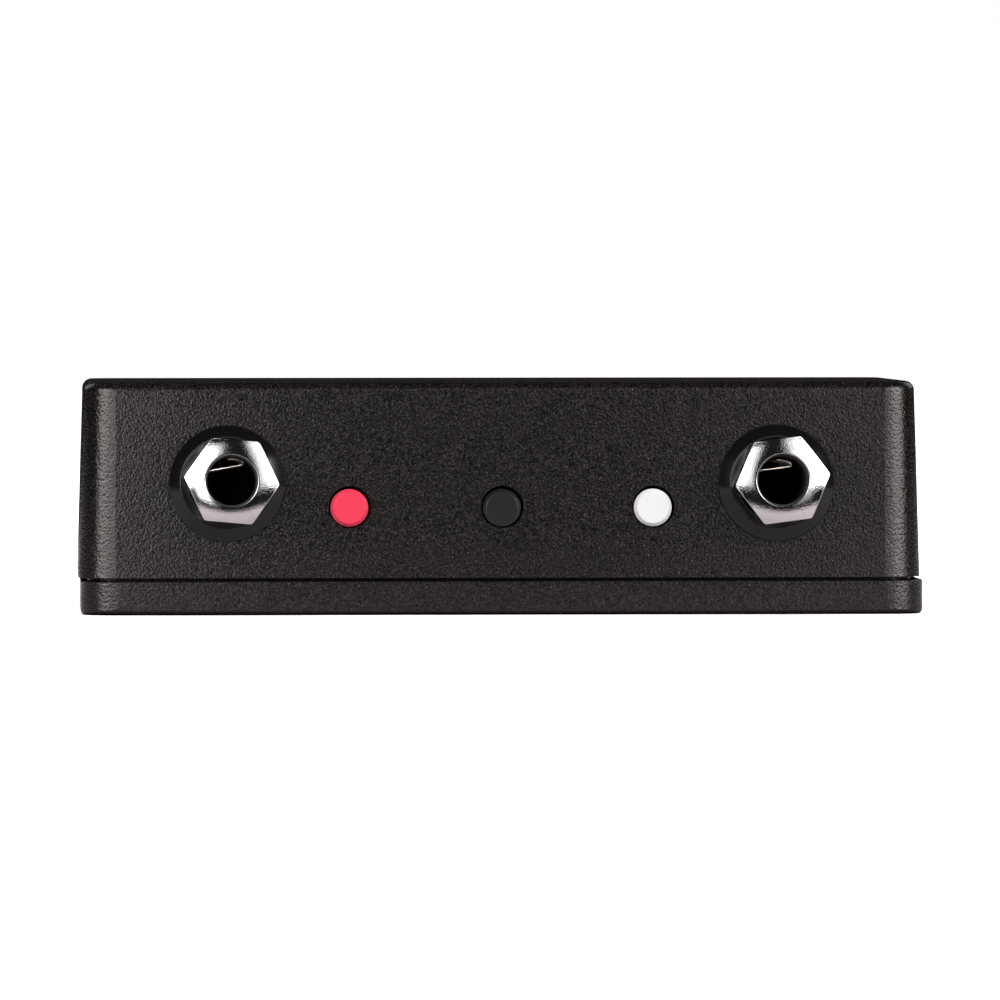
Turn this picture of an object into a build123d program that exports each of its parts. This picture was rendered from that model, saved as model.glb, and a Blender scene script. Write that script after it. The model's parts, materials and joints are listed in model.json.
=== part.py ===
from build123d import *
import os
from math import cos, hypot, radians, sin, sqrt

# Passive direct injection box: a small die-cast box with two quarter-inch jacks and three latching
# push switches in its long front wall, a three-pin XLR output in its rear wall, a screwed base lid
# below, and a circuit board with an isolating transformer inside.
#
# Frame: millimetres, +Z up, origin under the middle of the box on the face that it stands on.
# X runs along the box, and the wall with the jacks and buttons faces -Y.

# ---------------------------------------------------------------- driving sizes: die-cast enclosure
BOX_LENGTH = 112.2
BOX_DEPTH = 60.5
BOX_HEIGHT = 31.0
CORNER_R = 5.0
WALL = 2.2
ROOF = 2.2
DRAFT = 1.7  # degrees that the body's walls lean in
TOP_EDGE_R = 1.3
SEAM_GAP = (0.44, 1.3)  # height and depth of the shadow line between body and lid
SEAM_CHAMFER = 0.12
CASTING_PLAY = 0.18  # the lid's outline lies this far to +X of the screws, the body's to -X
LID_HEIGHT = 4.5
LID_PLATE = 2.0
LID_EDGE_R = 0.7
LIP_PLAY = 0.55
LIP_THICKNESS = 1.4
LIP_RISE = 1.5
BOSS_R = 4.2
SCREW_INSET = 5.7

# ------------------------------------------------------------------------------ driving sizes: jacks
JACK_INSET = 19.6  # panel holes, in from the ends of the box
JACK_UP = 13.27  # axis, measured up the front wall from the seam
BOARD_PLAY = 0.55  # the board and its jacks sit this far to +X of the panel holes
BEZEL_DROP = 0.28  # each bezel hangs this far below its jack's axis
PLUG_BORE_R = 3.25
NOSE_WALL = 1.25
NOSE_OUT = 4.3
NOSE_PANEL_GAP = 0.2
JACK_BODY_WIDTH = 15.0
JACK_AXIS_HEIGHT = 7.6
JACK_BODY_ABOVE = 7.2
JACK_BODY_DEPTH = 24.0
GUIDE_DEPTH = 8.9  # the bore is a close fit on the plug down to here
BORE_DEPTH = 25.0
CONTACT_ROOM = 0.25
BEZEL_SLOPE = 1.45
BEZEL_EDGE = 0.35
BEZEL_RIM = 0.15
BEZEL_GAP = 0.08
BEZEL_HEIGHT = 1.5
BEZEL_FLOOR = 0.8
NUT_WALL = 1.025
NUT_SHANK_WALL = 0.9
NUT_SHANK_TOP = 1.7
NUT_FRONT = 5.6
NUT_HOLE_GAP = 0.22
NUT_DOME_R = 12.0
NUT_CREST_R = 2.4
THREAD_GAP = 0.04
LEAF_THICKNESS = 0.35
TIP_LEAF_WIDTH = 5.0
TIP_FOLD_UP = 1.35
TIP_SHELF_UP = 4.7
TIP_FOLD_DEPTH = 21.5
TIP_LEAF_TURN = 9.0
SLEEVE_LEAF_WIDTH = 2.6
SLEEVE_FOLD_DEPTH = 12.6
TERMINAL_WIDTH = 1.2

# --------------------------------------------------------------------- driving sizes: push switches
BUTTON_UP = 9.73
JACK_TO_BUTTON = 16.35  # from each jack's panel hole to the button beside it
CAP_R = 2.5
CAP_CHAMFER = 0.42
CAP_PROUD = 1.2
CAP_LENGTH = 5.0
CAP_SOCKET = 2.6
BUTTON_HOLE_GAP = 0.3
BUTTON_HOLE_SHIFT = (0.1, 0.12)
SWITCH_TRAVEL = 2.2
SWITCH_CLEARANCE = 0.5
SWITCH_WIDTH = 8.0
SWITCH_WALL = 1.0
SWITCH_BASE = 1.2
PLUNGER_SHAFT = 3.2
PLUNGER_NIB = 2.4
SLIDER_WIDTH = 5.6
SLIDER_HEIGHT = 4.6
SLIDER_LENGTH = 4.5
SLIDE_GAP = 0.08
SPRING_R = 1.5
SPRING_WIRE_R = 0.2
SPRING_TURNS = 5
SPRING_PRESSED = 2.8
SWITCH_PIN_R = 0.3
SWITCH_PIN_PITCH = (4.5, 3.0)

# ------------------------------------------------------------- driving sizes: board and transformer
BOARD_THICKNESS = 1.6
BOARD_GAP = 1.0
BOARD_REAR = 33.6
PIN_GAP = 0.1
PIN_BELOW = 1.4
CORE_LENGTH = 19.0
CORE_HEIGHT = 14.0
CORE_STACK = 6.0
CORE_LEG = 4.2
CORE_WINDOW = (14.0, 2.9)
CORE_LIFT = 1.2
BOBBIN_WALL = 0.5
BOBBIN_FLANGE = 0.7
BOBBIN_GAP = 0.06
WINDING_BUILD = (1.0, 0.7)
TAPE_BUILD = 0.15
TRANSFORMER_AT = (-15.5, 26.3)
TRANSFORMER_PIN_R = 0.35
RESISTOR_R = 1.15
RESISTOR_LENGTH = 6.2
RESISTOR_SPAN = 10.16
RESISTOR_AT = (10.0, 24.8)
RESISTOR_PITCH = 2.8
RESISTORS = 4
LEAD_R = 0.3
CAPACITOR = (7.2, 2.6, 6.5)
CAPACITOR_SPAN = 5.0
CAPACITOR_AT = ((23.0, 22.0), (23.0, 27.5))

# ------------------------------------------------------------------------- driving sizes: XLR output
XLR_UP = 13.0
XLR_CAVITY_R = 8.1
XLR_CUP_WALL = 1.4
XLR_HOLE_GAP = 0.2
XLR_PROUD = 0.5
XLR_DEPTH = 14.5
XLR_INSERT = 5.0
XLR_FLANGE_MARGIN = (4.0, 0.8)
XLR_FLANGE_THICKNESS = 2.0
XLR_SCREW_INSET = (3.2, 2.9)
XLR_PIN_R = 1.2
XLR_PIN_CIRCLE_R = 4.6
XLR_PIN_SETBACK = 2.0
XLR_PIN_SHOULDER = 0.15
XLR_TAIL = 4.0
XLR_CUP_BORE_R = 0.75
XLR_KEY = (1.8, 0.8)
XLR_LATCH = (5.0, 4.0, 4.0)

# -------------------------------------------------------------------- driving sizes: fasteners, wires
SCREW_R = 1.5
SCREW_GAP = 0.08
SCREW_HEAD_R = 2.85
SCREW_HEAD_HEIGHT = 1.6
SCREW_SUNK = 0.1
LID_SCREW_LENGTH = 12.0
XLR_SCREW_LENGTH = 8.4
CROSS_SLOT = (3.2, 0.7, 1.0)
NUT_M3_FLATS = 5.5
NUT_M3_HEIGHT = 2.4
LUG_THICKNESS = 0.5
LUG_R = 3.0
LUG_TAIL = (2.4, 6.0)
WIRE_R = 0.6

# ------------------------------------------------------------------------------------ worked-out sizes
LEAN = radians(DRAFT)
WALL_NORMAL = WALL * cos(LEAN)
SCREW_GRID = (BOX_LENGTH - 2 * SCREW_INSET, BOX_DEPTH - 2 * SCREW_INSET)

JACKS = {"input": -BOX_LENGTH / 2 + JACK_INSET, "thru": BOX_LENGTH / 2 - JACK_INSET}
NOSE_R = PLUG_BORE_R + NOSE_WALL
NUT_CORNER_R = 2 * (NOSE_R + NUT_WALL) / sqrt(3)
NUT_SHANK_R = NOSE_R + NUT_SHANK_WALL
NUT_HOLE_R = PLUG_BORE_R + NUT_HOLE_GAP
BEZEL_OFFSET = hypot(BOARD_PLAY, BEZEL_DROP)
BEZEL_RECESS_R = NUT_SHANK_R + BEZEL_OFFSET + BEZEL_GAP
BEZEL_RIM_R = BEZEL_RECESS_R + BEZEL_RIM
BEZEL_R = BEZEL_RIM_R + BEZEL_SLOPE

BUTTONS = {
    "red": JACKS["input"] + JACK_TO_BUTTON - 0.15,
    "black": -0.05,
    "white": JACKS["thru"] - JACK_TO_BUTTON - 0.15,
}
BUTTON_HOLE_R = CAP_R + BUTTON_HOLE_GAP
SWITCH_FACE = CAP_LENGTH - CAP_PROUD + SWITCH_TRAVEL + SWITCH_CLEARANCE
SPRING_LENGTH = SPRING_PRESSED + SWITCH_TRAVEL
SWITCH_LENGTH = 2 * SWITCH_WALL + SLIDER_LENGTH + SPRING_LENGTH

BOARD_UP = JACK_UP - JACK_AXIS_HEIGHT
BOARD_FRONT = WALL + BOARD_GAP
BOARD_LENGTH = SCREW_GRID[0] - 2 * (BOSS_R + BOARD_GAP + BOARD_PLAY)
SWITCH_AXIS = BUTTON_UP - BOARD_UP
BELOW_BOARD = BOARD_THICKNESS + PIN_BELOW

XLR_CUP_R = XLR_CAVITY_R + XLR_CUP_WALL
XLR_FLANGE = (2 * (XLR_CUP_R + XLR_FLANGE_MARGIN[0]), 2 * (XLR_CUP_R + XLR_FLANGE_MARGIN[1]))
XLR_SCREW_AT = (XLR_FLANGE[0] / 2 - XLR_SCREW_INSET[0], XLR_FLANGE[1] / 2 - XLR_SCREW_INSET[1])

# Planes on the leaning outer faces, with their origins at the seam. x runs to the right for a person who
# faces the wall, y runs up the wall and z points out of it. BOARD lies square to the front wall, with y
# pointing into the box and z up from the board's top face.
FRONT = Plane(origin=(0, -BOX_DEPTH / 2, LID_HEIGHT), x_dir=(1, 0, 0), z_dir=(0, -cos(LEAN), sin(LEAN)))
REAR = Plane(origin=(0, BOX_DEPTH / 2, LID_HEIGHT), x_dir=(-1, 0, 0), z_dir=(0, cos(LEAN), sin(LEAN)))
BOARD = Plane(origin=FRONT.from_local_coords((0, BOARD_UP, 0)), x_dir=(1, 0, 0), z_dir=FRONT.y_dir)


def at(plane, x, y, z=0.0, turn=0.0):
    """The same plane moved to a point given in its own coordinates, and turned about its normal."""
    x_dir = plane.x_dir * cos(radians(turn)) + plane.y_dir * sin(radians(turn))
    return Plane(origin=plane.from_local_coords((x, y, z)), x_dir=x_dir, z_dir=plane.z_dir)


def section(plane):
    """The plane that cuts a wall component in half: x into the box, y up."""
    return Plane(origin=plane.origin, x_dir=-plane.z_dir, z_dir=plane.x_dir)


def write(piece, node):
    """Label a finished piece and write it as one STEP file."""
    piece.part.label = node
    export_step(piece.part, f"parts/{node}.step")


# ------------------------------------------------------------------------------------------- enclosure
def make_enclosure():
    """Drafted die-cast body, open below, with screw bosses and the holes of both long walls."""
    height = BOX_HEIGHT - LID_HEIGHT
    with BuildPart() as body:
        with BuildSketch(Plane.XY.offset(LID_HEIGHT)):
            with Locations((-CASTING_PLAY, 0)):
                RectangleRounded(BOX_LENGTH, BOX_DEPTH, CORNER_R)
        extrude(amount=height, taper=DRAFT)
        fillet(body.faces().sort_by(Axis.Z)[-1].edges(), TOP_EDGE_R)
        with BuildSketch(Plane.XY.offset(LID_HEIGHT)):
            with Locations((-CASTING_PLAY, 0)):
                Rectangle(BOX_LENGTH + WALL, BOX_DEPTH + WALL)
                seam = 2 * SEAM_GAP[1]
                RectangleRounded(BOX_LENGTH - seam, BOX_DEPTH - seam, CORNER_R - SEAM_GAP[1], mode=Mode.SUBTRACT)
        extrude(amount=SEAM_GAP[0], mode=Mode.SUBTRACT)
        with BuildSketch(Plane.XY.offset(LID_HEIGHT)):
            with Locations((-CASTING_PLAY, 0)):
                RectangleRounded(BOX_LENGTH - 2 * WALL, BOX_DEPTH - 2 * WALL, CORNER_R - WALL)
        extrude(amount=height - ROOF, taper=DRAFT, mode=Mode.SUBTRACT)
        with BuildSketch(Plane.XY.offset(LID_HEIGHT)):
            with GridLocations(*SCREW_GRID, 2, 2):
                Circle(BOSS_R)
        extrude(amount=height - ROOF / 2)
        with BuildSketch(Plane.XY.offset(LID_HEIGHT)):
            with GridLocations(*SCREW_GRID, 2, 2):
                Circle(SCREW_R + SCREW_GAP)
        extrude(amount=LID_SCREW_LENGTH, mode=Mode.SUBTRACT)
        with BuildSketch(FRONT.offset(WALL)):
            for x in JACKS.values():
                with Locations((x, JACK_UP)):
                    Circle(NOSE_R + BOARD_PLAY + NOSE_PANEL_GAP)
            for x in BUTTONS.values():
                with Locations((x + BUTTON_HOLE_SHIFT[0], BUTTON_UP + BUTTON_HOLE_SHIFT[1])):
                    Circle(BUTTON_HOLE_R)
        extrude(amount=-3 * WALL, mode=Mode.SUBTRACT)
        with BuildSketch(REAR.offset(WALL)):
            with Locations((0, XLR_UP)):
                Circle(XLR_CUP_R + XLR_HOLE_GAP)
            with Locations(*xlr_screw_points()):
                Circle(SCREW_R + SCREW_GAP)
        extrude(amount=-3 * WALL, mode=Mode.SUBTRACT)
        for x, y in xlr_screw_points():
            cone = at(REAR, x, y)
            with BuildSketch(cone):
                Circle(SCREW_HEAD_R + SCREW_SUNK + SCREW_GAP)
            with BuildSketch(cone.offset(-SCREW_SUNK - SCREW_HEAD_HEIGHT)):
                Circle(SCREW_R + SCREW_GAP)
            loft(mode=Mode.SUBTRACT)
    write(body, "enclosure")


def make_base_lid():
    """Flat base cover with a rim, a locating lip inside the body and four countersunk holes."""
    rim = WALL + LIP_PLAY + LIP_THICKNESS
    with BuildPart() as lid:
        with BuildSketch():
            with Locations((CASTING_PLAY, 0)):
                RectangleRounded(BOX_LENGTH, BOX_DEPTH, CORNER_R)
        extrude(amount=LID_HEIGHT)
        fillet(lid.faces().sort_by(Axis.Z)[0].edges(), LID_EDGE_R)
        chamfer(lid.faces().sort_by(Axis.Z)[-1].edges(), SEAM_CHAMFER)
        with BuildSketch(Plane.XY.offset(LID_PLATE)):
            with Locations((CASTING_PLAY, 0)):
                inset = WALL + LIP_PLAY
                RectangleRounded(BOX_LENGTH - 2 * inset, BOX_DEPTH - 2 * inset, CORNER_R - inset)
        extrude(amount=LID_HEIGHT + LIP_RISE - LID_PLATE)
        with BuildSketch(Plane.XY.offset(LID_HEIGHT)):
            with GridLocations(*SCREW_GRID, 2, 2):
                Circle(BOSS_R + LIP_PLAY)
        extrude(amount=LIP_RISE, mode=Mode.SUBTRACT)
        with BuildSketch(Plane.XY.offset(LID_PLATE)):
            with Locations((CASTING_PLAY, 0)):
                RectangleRounded(BOX_LENGTH - 2 * rim, BOX_DEPTH - 2 * rim, CORNER_R - WALL)
        extrude(amount=LID_HEIGHT + LIP_RISE - LID_PLATE, mode=Mode.SUBTRACT)
        with BuildSketch(Plane.XY.offset(LID_PLATE)):
            with GridLocations(*SCREW_GRID, 2, 2):
                Circle(BOSS_R)
        extrude(amount=LID_HEIGHT - LID_PLATE)
        with Locations(Plane.XY.rotated((180, 0, 0))):
            with GridLocations(*SCREW_GRID, 2, 2):
                CounterSinkHole(SCREW_R + SCREW_GAP, SCREW_HEAD_R + SCREW_GAP + SCREW_SUNK)
    write(lid, "base_lid")


def countersunk_screw(length):
    """Countersunk cross-slot screw sunk a little below the XY plane, its shank running along -Z."""
    with BuildPart() as screw:
        with BuildSketch(Plane.XY.offset(-SCREW_SUNK)):
            Circle(SCREW_HEAD_R)
        with BuildSketch(Plane.XY.offset(-SCREW_SUNK - SCREW_HEAD_HEIGHT)):
            Circle(SCREW_R)
        loft()
        with BuildSketch(Plane.XY.offset(-SCREW_SUNK - SCREW_HEAD_HEIGHT)):
            Circle(SCREW_R)
        extrude(amount=SCREW_HEAD_HEIGHT - length)
        with BuildSketch(Plane.XY.offset(-SCREW_SUNK)):
            for angle in (0, 90):
                Rectangle(CROSS_SLOT[0], CROSS_SLOT[1], rotation=angle)
        extrude(amount=-CROSS_SLOT[2], mode=Mode.SUBTRACT)
    return screw.part


def make_lid_screws():
    """Four countersunk screws that hold the lid to the body's bosses."""
    with BuildPart() as screws:
        with Locations(Plane.XY.rotated((180, 0, 0))):
            with GridLocations(*SCREW_GRID, 2, 2):
                add(countersunk_screw(LID_SCREW_LENGTH))
    write(screws, "lid_screws")


# ----------------------------------------------------------------------------------------------- jacks
def make_jack_body(name, x):
    """Moulded body with its threaded nose, the plug bore and the pockets of both contacts."""
    axis = at(FRONT, x + BOARD_PLAY, JACK_UP)
    tip = section(at(axis, 0, 0, 0, TIP_LEAF_TURN))
    with BuildPart() as body:
        with BuildSketch(axis.offset(-WALL_NORMAL)):
            with Locations((0, (JACK_BODY_ABOVE - JACK_AXIS_HEIGHT) / 2)):
                Rectangle(JACK_BODY_WIDTH, JACK_BODY_ABOVE + JACK_AXIS_HEIGHT)
        extrude(amount=-JACK_BODY_DEPTH)
        fillet(body.edges().filter_by(Axis(axis.origin, axis.z_dir)).sort_by(Axis.Z)[-2:], 1.5)
        with BuildSketch(axis.offset(-WALL_NORMAL)):
            Circle(NOSE_R)
        extrude(amount=WALL_NORMAL + NOSE_OUT)
        with BuildSketch(axis.offset(NOSE_OUT)):
            Circle(PLUG_BORE_R)
        extrude(amount=-NOSE_OUT - GUIDE_DEPTH, mode=Mode.SUBTRACT)
        with BuildSketch(axis.offset(-GUIDE_DEPTH)):
            Circle(PLUG_BORE_R + CONTACT_ROOM)
        extrude(amount=GUIDE_DEPTH - BORE_DEPTH, mode=Mode.SUBTRACT)
        with BuildSketch(tip):
            with Locations((TIP_FOLD_DEPTH - 4.4, TIP_FOLD_UP)):
                Rectangle(JACK_BODY_DEPTH, TIP_SHELF_UP - TIP_FOLD_UP + 1.0, align=(Align.MIN, Align.MIN))
        extrude(amount=TIP_LEAF_WIDTH / 2 + 0.3, both=True, mode=Mode.SUBTRACT)
        with BuildSketch(section(axis)):
            with Locations((SLEEVE_FOLD_DEPTH, -JACK_AXIS_HEIGHT)):
                Rectangle(7.4, JACK_AXIS_HEIGHT - 2.4, align=(Align.CENTER, Align.MIN))
        extrude(amount=SLEEVE_LEAF_WIDTH / 2 + 0.4, both=True, mode=Mode.SUBTRACT)
    write(body, f"jack_{name}_body")


def make_jack_bezel(name, x):
    """Black ring between wall and nut: a sloping flange with a recess that takes the nut's shank."""
    with BuildPart() as bezel:
        with BuildSketch(section(at(FRONT, x, JACK_UP - BEZEL_DROP))):
            with BuildLine():
                hole_r = NOSE_R + BEZEL_OFFSET + THREAD_GAP
                Polyline(
                    (0, hole_r),
                    (0, BEZEL_R),
                    (-BEZEL_EDGE, BEZEL_R),
                    (-BEZEL_HEIGHT, BEZEL_RIM_R),
                    (-BEZEL_HEIGHT, BEZEL_RECESS_R),
                    (-BEZEL_FLOOR, BEZEL_RECESS_R),
                    (-BEZEL_FLOOR, hole_r),
                    close=True,
                )
            make_face()
        revolve(axis=Axis(at(FRONT, x, JACK_UP - BEZEL_DROP).origin, FRONT.z_dir))
    write(bezel, f"jack_{name}_bezel")


def make_jack_nut(name, x, turn):
    """Plated hexagon nut with a domed closed front around the plug hole."""
    axis = at(FRONT, x + BOARD_PLAY, JACK_UP)
    spin = Axis(axis.origin, axis.z_dir)
    with BuildPart() as nut:
        with BuildSketch(at(axis, 0, 0, NUT_SHANK_TOP, turn)):
            RegularPolygon(NUT_CORNER_R, 6)
        extrude(amount=NUT_FRONT - NUT_SHANK_TOP)
        with BuildSketch(section(axis)):
            with BuildLine():
                rim = NUT_CORNER_R + 1
                reach = NUT_DOME_R - sqrt(NUT_DOME_R**2 - (rim - NUT_CREST_R) ** 2)
                middle = (NUT_CREST_R + rim) / 2
                bulge = NUT_DOME_R - sqrt(NUT_DOME_R**2 - (middle - NUT_CREST_R) ** 2)
                ThreePointArc((-NUT_FRONT, NUT_CREST_R), (-NUT_FRONT + bulge, middle), (-NUT_FRONT + reach, rim))
                Polyline((-NUT_FRONT + reach, rim), (0, rim), (0, 0), (-NUT_FRONT, 0), (-NUT_FRONT, NUT_CREST_R))
            make_face()
        revolve(axis=spin, mode=Mode.INTERSECT)
        with BuildSketch(axis.offset(BEZEL_FLOOR)):
            Circle(NUT_SHANK_R)
        extrude(amount=NUT_SHANK_TOP - BEZEL_FLOOR)
        with BuildSketch(axis.offset(BEZEL_FLOOR)):
            Circle(NOSE_R + THREAD_GAP)
        extrude(amount=NOSE_OUT + THREAD_GAP - BEZEL_FLOOR, mode=Mode.SUBTRACT)
        with BuildSketch(axis.offset(BEZEL_FLOOR)):
            Circle(NUT_HOLE_R)
        extrude(amount=NUT_FRONT, mode=Mode.SUBTRACT)
    write(nut, f"jack_{name}_nut")


def make_tip_contact(name, x):
    """Folded spring leaf that dips into the far end of the bore, with its tail down to the board."""
    axis = at(FRONT, x + BOARD_PLAY, JACK_UP)
    tail = WALL_NORMAL + JACK_BODY_DEPTH + LEAF_THICKNESS
    with BuildPart() as contact:
        with BuildSketch(section(at(axis, 0, 0, 0, TIP_LEAF_TURN))):
            with BuildLine():
                Polyline(
                    (tail, TIP_SHELF_UP),
                    (TIP_FOLD_DEPTH + 2.6, TIP_SHELF_UP),
                    (TIP_FOLD_DEPTH, TIP_FOLD_UP + LEAF_THICKNESS / 2),
                    (TIP_FOLD_DEPTH - 2.6, TIP_SHELF_UP - 0.3),
                    (TIP_FOLD_DEPTH - 3.6, TIP_SHELF_UP),
                )
            trace(line_width=LEAF_THICKNESS)
        extrude(amount=TIP_LEAF_WIDTH / 2, both=True)
        with BuildSketch(section(axis)):
            with Locations((tail, TIP_SHELF_UP + 0.7)):
                Rectangle(LEAF_THICKNESS, JACK_AXIS_HEIGHT + TIP_SHELF_UP + 0.7, align=(Align.CENTER, Align.MAX))
        extrude(amount=TIP_LEAF_WIDTH / 2 - 0.4, both=True)
        with BuildSketch(section(axis)):
            with Locations((tail, -JACK_AXIS_HEIGHT)):
                Rectangle(LEAF_THICKNESS, BELOW_BOARD, align=(Align.CENTER, Align.MAX))
        extrude(amount=TERMINAL_WIDTH / 2, both=True)
    write(contact, f"jack_{name}_tip_contact")


def make_sleeve_contact(name, x):
    """Folded spring leaf that touches the plug's sleeve from below, with its tail down to the board."""
    with BuildPart() as contact:
        with BuildSketch(section(at(FRONT, x + BOARD_PLAY, JACK_UP))):
            with BuildLine():
                Polyline(
                    (SLEEVE_FOLD_DEPTH + 3.2, -JACK_AXIS_HEIGHT),
                    (SLEEVE_FOLD_DEPTH + 3.2, -5.2),
                    (SLEEVE_FOLD_DEPTH + 2.0, -3.8),
                    (SLEEVE_FOLD_DEPTH, -PLUG_BORE_R + 0.1),
                    (SLEEVE_FOLD_DEPTH - 2.4, -4.8),
                )
            trace(line_width=LEAF_THICKNESS)
        extrude(amount=SLEEVE_LEAF_WIDTH / 2, both=True)
        with BuildSketch(section(at(FRONT, x + BOARD_PLAY, JACK_UP))):
            with Locations((SLEEVE_FOLD_DEPTH + 3.2, -JACK_AXIS_HEIGHT)):
                Rectangle(LEAF_THICKNESS, BELOW_BOARD, align=(Align.CENTER, Align.MAX))
        extrude(amount=TERMINAL_WIDTH / 2, both=True)
    write(contact, f"jack_{name}_sleeve_contact")


# -------------------------------------------------------------------------------------- push switches
def make_switch(name, x):
    """Latching push switch: base with its cover, the sliding plunger, its spring and the button cap."""
    axis = at(FRONT, x, BUTTON_UP)
    room = (SLIDER_WIDTH + 2 * SLIDE_GAP, SLIDER_HEIGHT + 2 * SLIDE_GAP)
    chamber = SWITCH_FACE + SWITCH_WALL
    chamber_end = SWITCH_FACE + SWITCH_LENGTH - SWITCH_WALL
    with BuildPart() as housing:
        with BuildSketch(axis.offset(-SWITCH_FACE)):
            with Locations((0, SWITCH_BASE / 2)):
                Rectangle(SWITCH_WIDTH, 2 * SWITCH_AXIS - SWITCH_BASE)
        extrude(amount=-SWITCH_LENGTH)
        with BuildSketch(axis.offset(-chamber)):
            Rectangle(*room)
        extrude(amount=chamber - chamber_end, mode=Mode.SUBTRACT)
        with BuildSketch(axis.offset(-SWITCH_FACE)):
            Rectangle(PLUNGER_SHAFT + 2 * SLIDE_GAP, PLUNGER_SHAFT + 2 * SLIDE_GAP)
        extrude(amount=-SWITCH_WALL, mode=Mode.SUBTRACT)
    write(housing, f"switch_{name}_housing")

    with BuildPart() as base:
        with BuildSketch(at(BOARD, x, SWITCH_FACE)):
            Rectangle(SWITCH_WIDTH, SWITCH_LENGTH, align=(Align.CENTER, Align.MIN))
            with Locations(*switch_pin_points(0, SWITCH_LENGTH / 2)):
                Circle(SWITCH_PIN_R + 0.02, mode=Mode.SUBTRACT)
        extrude(amount=SWITCH_BASE)
    write(base, f"switch_{name}_base")

    with BuildPart() as plunger:
        with BuildSketch(axis.offset(-chamber)):
            Rectangle(SLIDER_WIDTH, SLIDER_HEIGHT)
        extrude(amount=-SLIDER_LENGTH)
        with BuildSketch(axis.offset(-chamber)):
            Rectangle(PLUNGER_SHAFT, PLUNGER_SHAFT)
        extrude(amount=chamber + CAP_PROUD - CAP_LENGTH)
        with BuildSketch(axis.offset(CAP_PROUD - CAP_LENGTH)):
            Rectangle(PLUNGER_NIB, PLUNGER_NIB)
        extrude(amount=CAP_SOCKET - SLIDE_GAP)
    write(plunger, f"switch_{name}_plunger")

    with BuildPart() as cap:
        with BuildSketch(axis.offset(CAP_PROUD)):
            Circle(CAP_R)
        extrude(amount=-CAP_LENGTH)
        chamfer(cap.edges().sort_by(Axis(axis.origin, axis.z_dir))[-1], CAP_CHAMFER)
        with BuildSketch(axis.offset(CAP_PROUD - CAP_LENGTH)):
            Rectangle(PLUNGER_NIB + 0.04, PLUNGER_NIB + 0.04)
        extrude(amount=CAP_SOCKET, mode=Mode.SUBTRACT)
    write(cap, f"button_cap_{name}")

    spring_start = chamber + SLIDER_LENGTH + SPRING_WIRE_R + 0.05
    spring_height = chamber_end - spring_start - SPRING_WIRE_R - 0.05
    seat = axis.offset(-spring_start - spring_height)
    with BuildPart() as spring:
        with BuildLine() as path:
            Helix(spring_height / SPRING_TURNS, spring_height, SPRING_R, seat.origin, seat.z_dir)
        with BuildSketch(Plane(origin=path.line @ 0, z_dir=path.line % 0)):
            Circle(SPRING_WIRE_R)
        sweep(path=path.line, is_frenet=True)
    write(spring, f"switch_{name}_spring")


def switch_pin_points(x, y):
    """Six pin places around a point, in two rows of three."""
    return [
        (x + column * SWITCH_PIN_PITCH[0] / 2, y + row * SWITCH_PIN_PITCH[1])
        for column in (-1, 1)
        for row in (-1, 0, 1)
    ]


def all_switch_pins():
    """Places of every switch pin on the board."""
    middle = SWITCH_FACE + SWITCH_LENGTH / 2
    return [point for x in BUTTONS.values() for point in switch_pin_points(x, middle)]


def make_switch_pins():
    """Tinned pins of the three switches, from their bases down through the board."""
    with BuildPart() as pins:
        with BuildSketch(BOARD.offset(-BELOW_BOARD)):
            with Locations(*all_switch_pins()):
                Circle(SWITCH_PIN_R)
        extrude(amount=BELOW_BOARD + SWITCH_BASE - 0.1)
    write(pins, "switch_pins")


# --------------------------------------------------------------------------------------- circuit board
def transformer_pin_points():
    """Eight pin places in the bobbin's two rails."""
    rail = (bobbin_reach() + CORE_STACK / 2) / 2
    step = CORE_WINDOW[0] / 4
    return [
        (TRANSFORMER_AT[0] + (column - 1.5) * step, TRANSFORMER_AT[1] + side * rail)
        for side in (-1, 1)
        for column in range(4)
    ]


def bobbin_reach():
    """Distance from the bobbin's middle to the outside of its flanges, across the core's stack."""
    return CORE_STACK / 2 + CORE_WINDOW[1] - BOBBIN_GAP


def resistor_rows():
    """Distances of the resistors into the box."""
    return [RESISTOR_AT[1] + (row - (RESISTORS - 1) / 2) * RESISTOR_PITCH for row in range(RESISTORS)]


def resistor_pin_points():
    """Both lead holes of each resistor."""
    return [(RESISTOR_AT[0] + side * RESISTOR_SPAN / 2, y) for y in resistor_rows() for side in (-1, 1)]


def capacitor_pin_points():
    """Both lead holes of each capacitor."""
    return [(x + side * CAPACITOR_SPAN / 2, y) for x, y in CAPACITOR_AT for side in (-1, 1)]


def terminal_points():
    """Board slots for the tails of both jacks' contacts."""
    tip = WALL_NORMAL + JACK_BODY_DEPTH + LEAF_THICKNESS
    depths = (tip, SLEEVE_FOLD_DEPTH + 3.2)
    return [(x + BOARD_PLAY, depth) for x in JACKS.values() for depth in depths]


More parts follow.
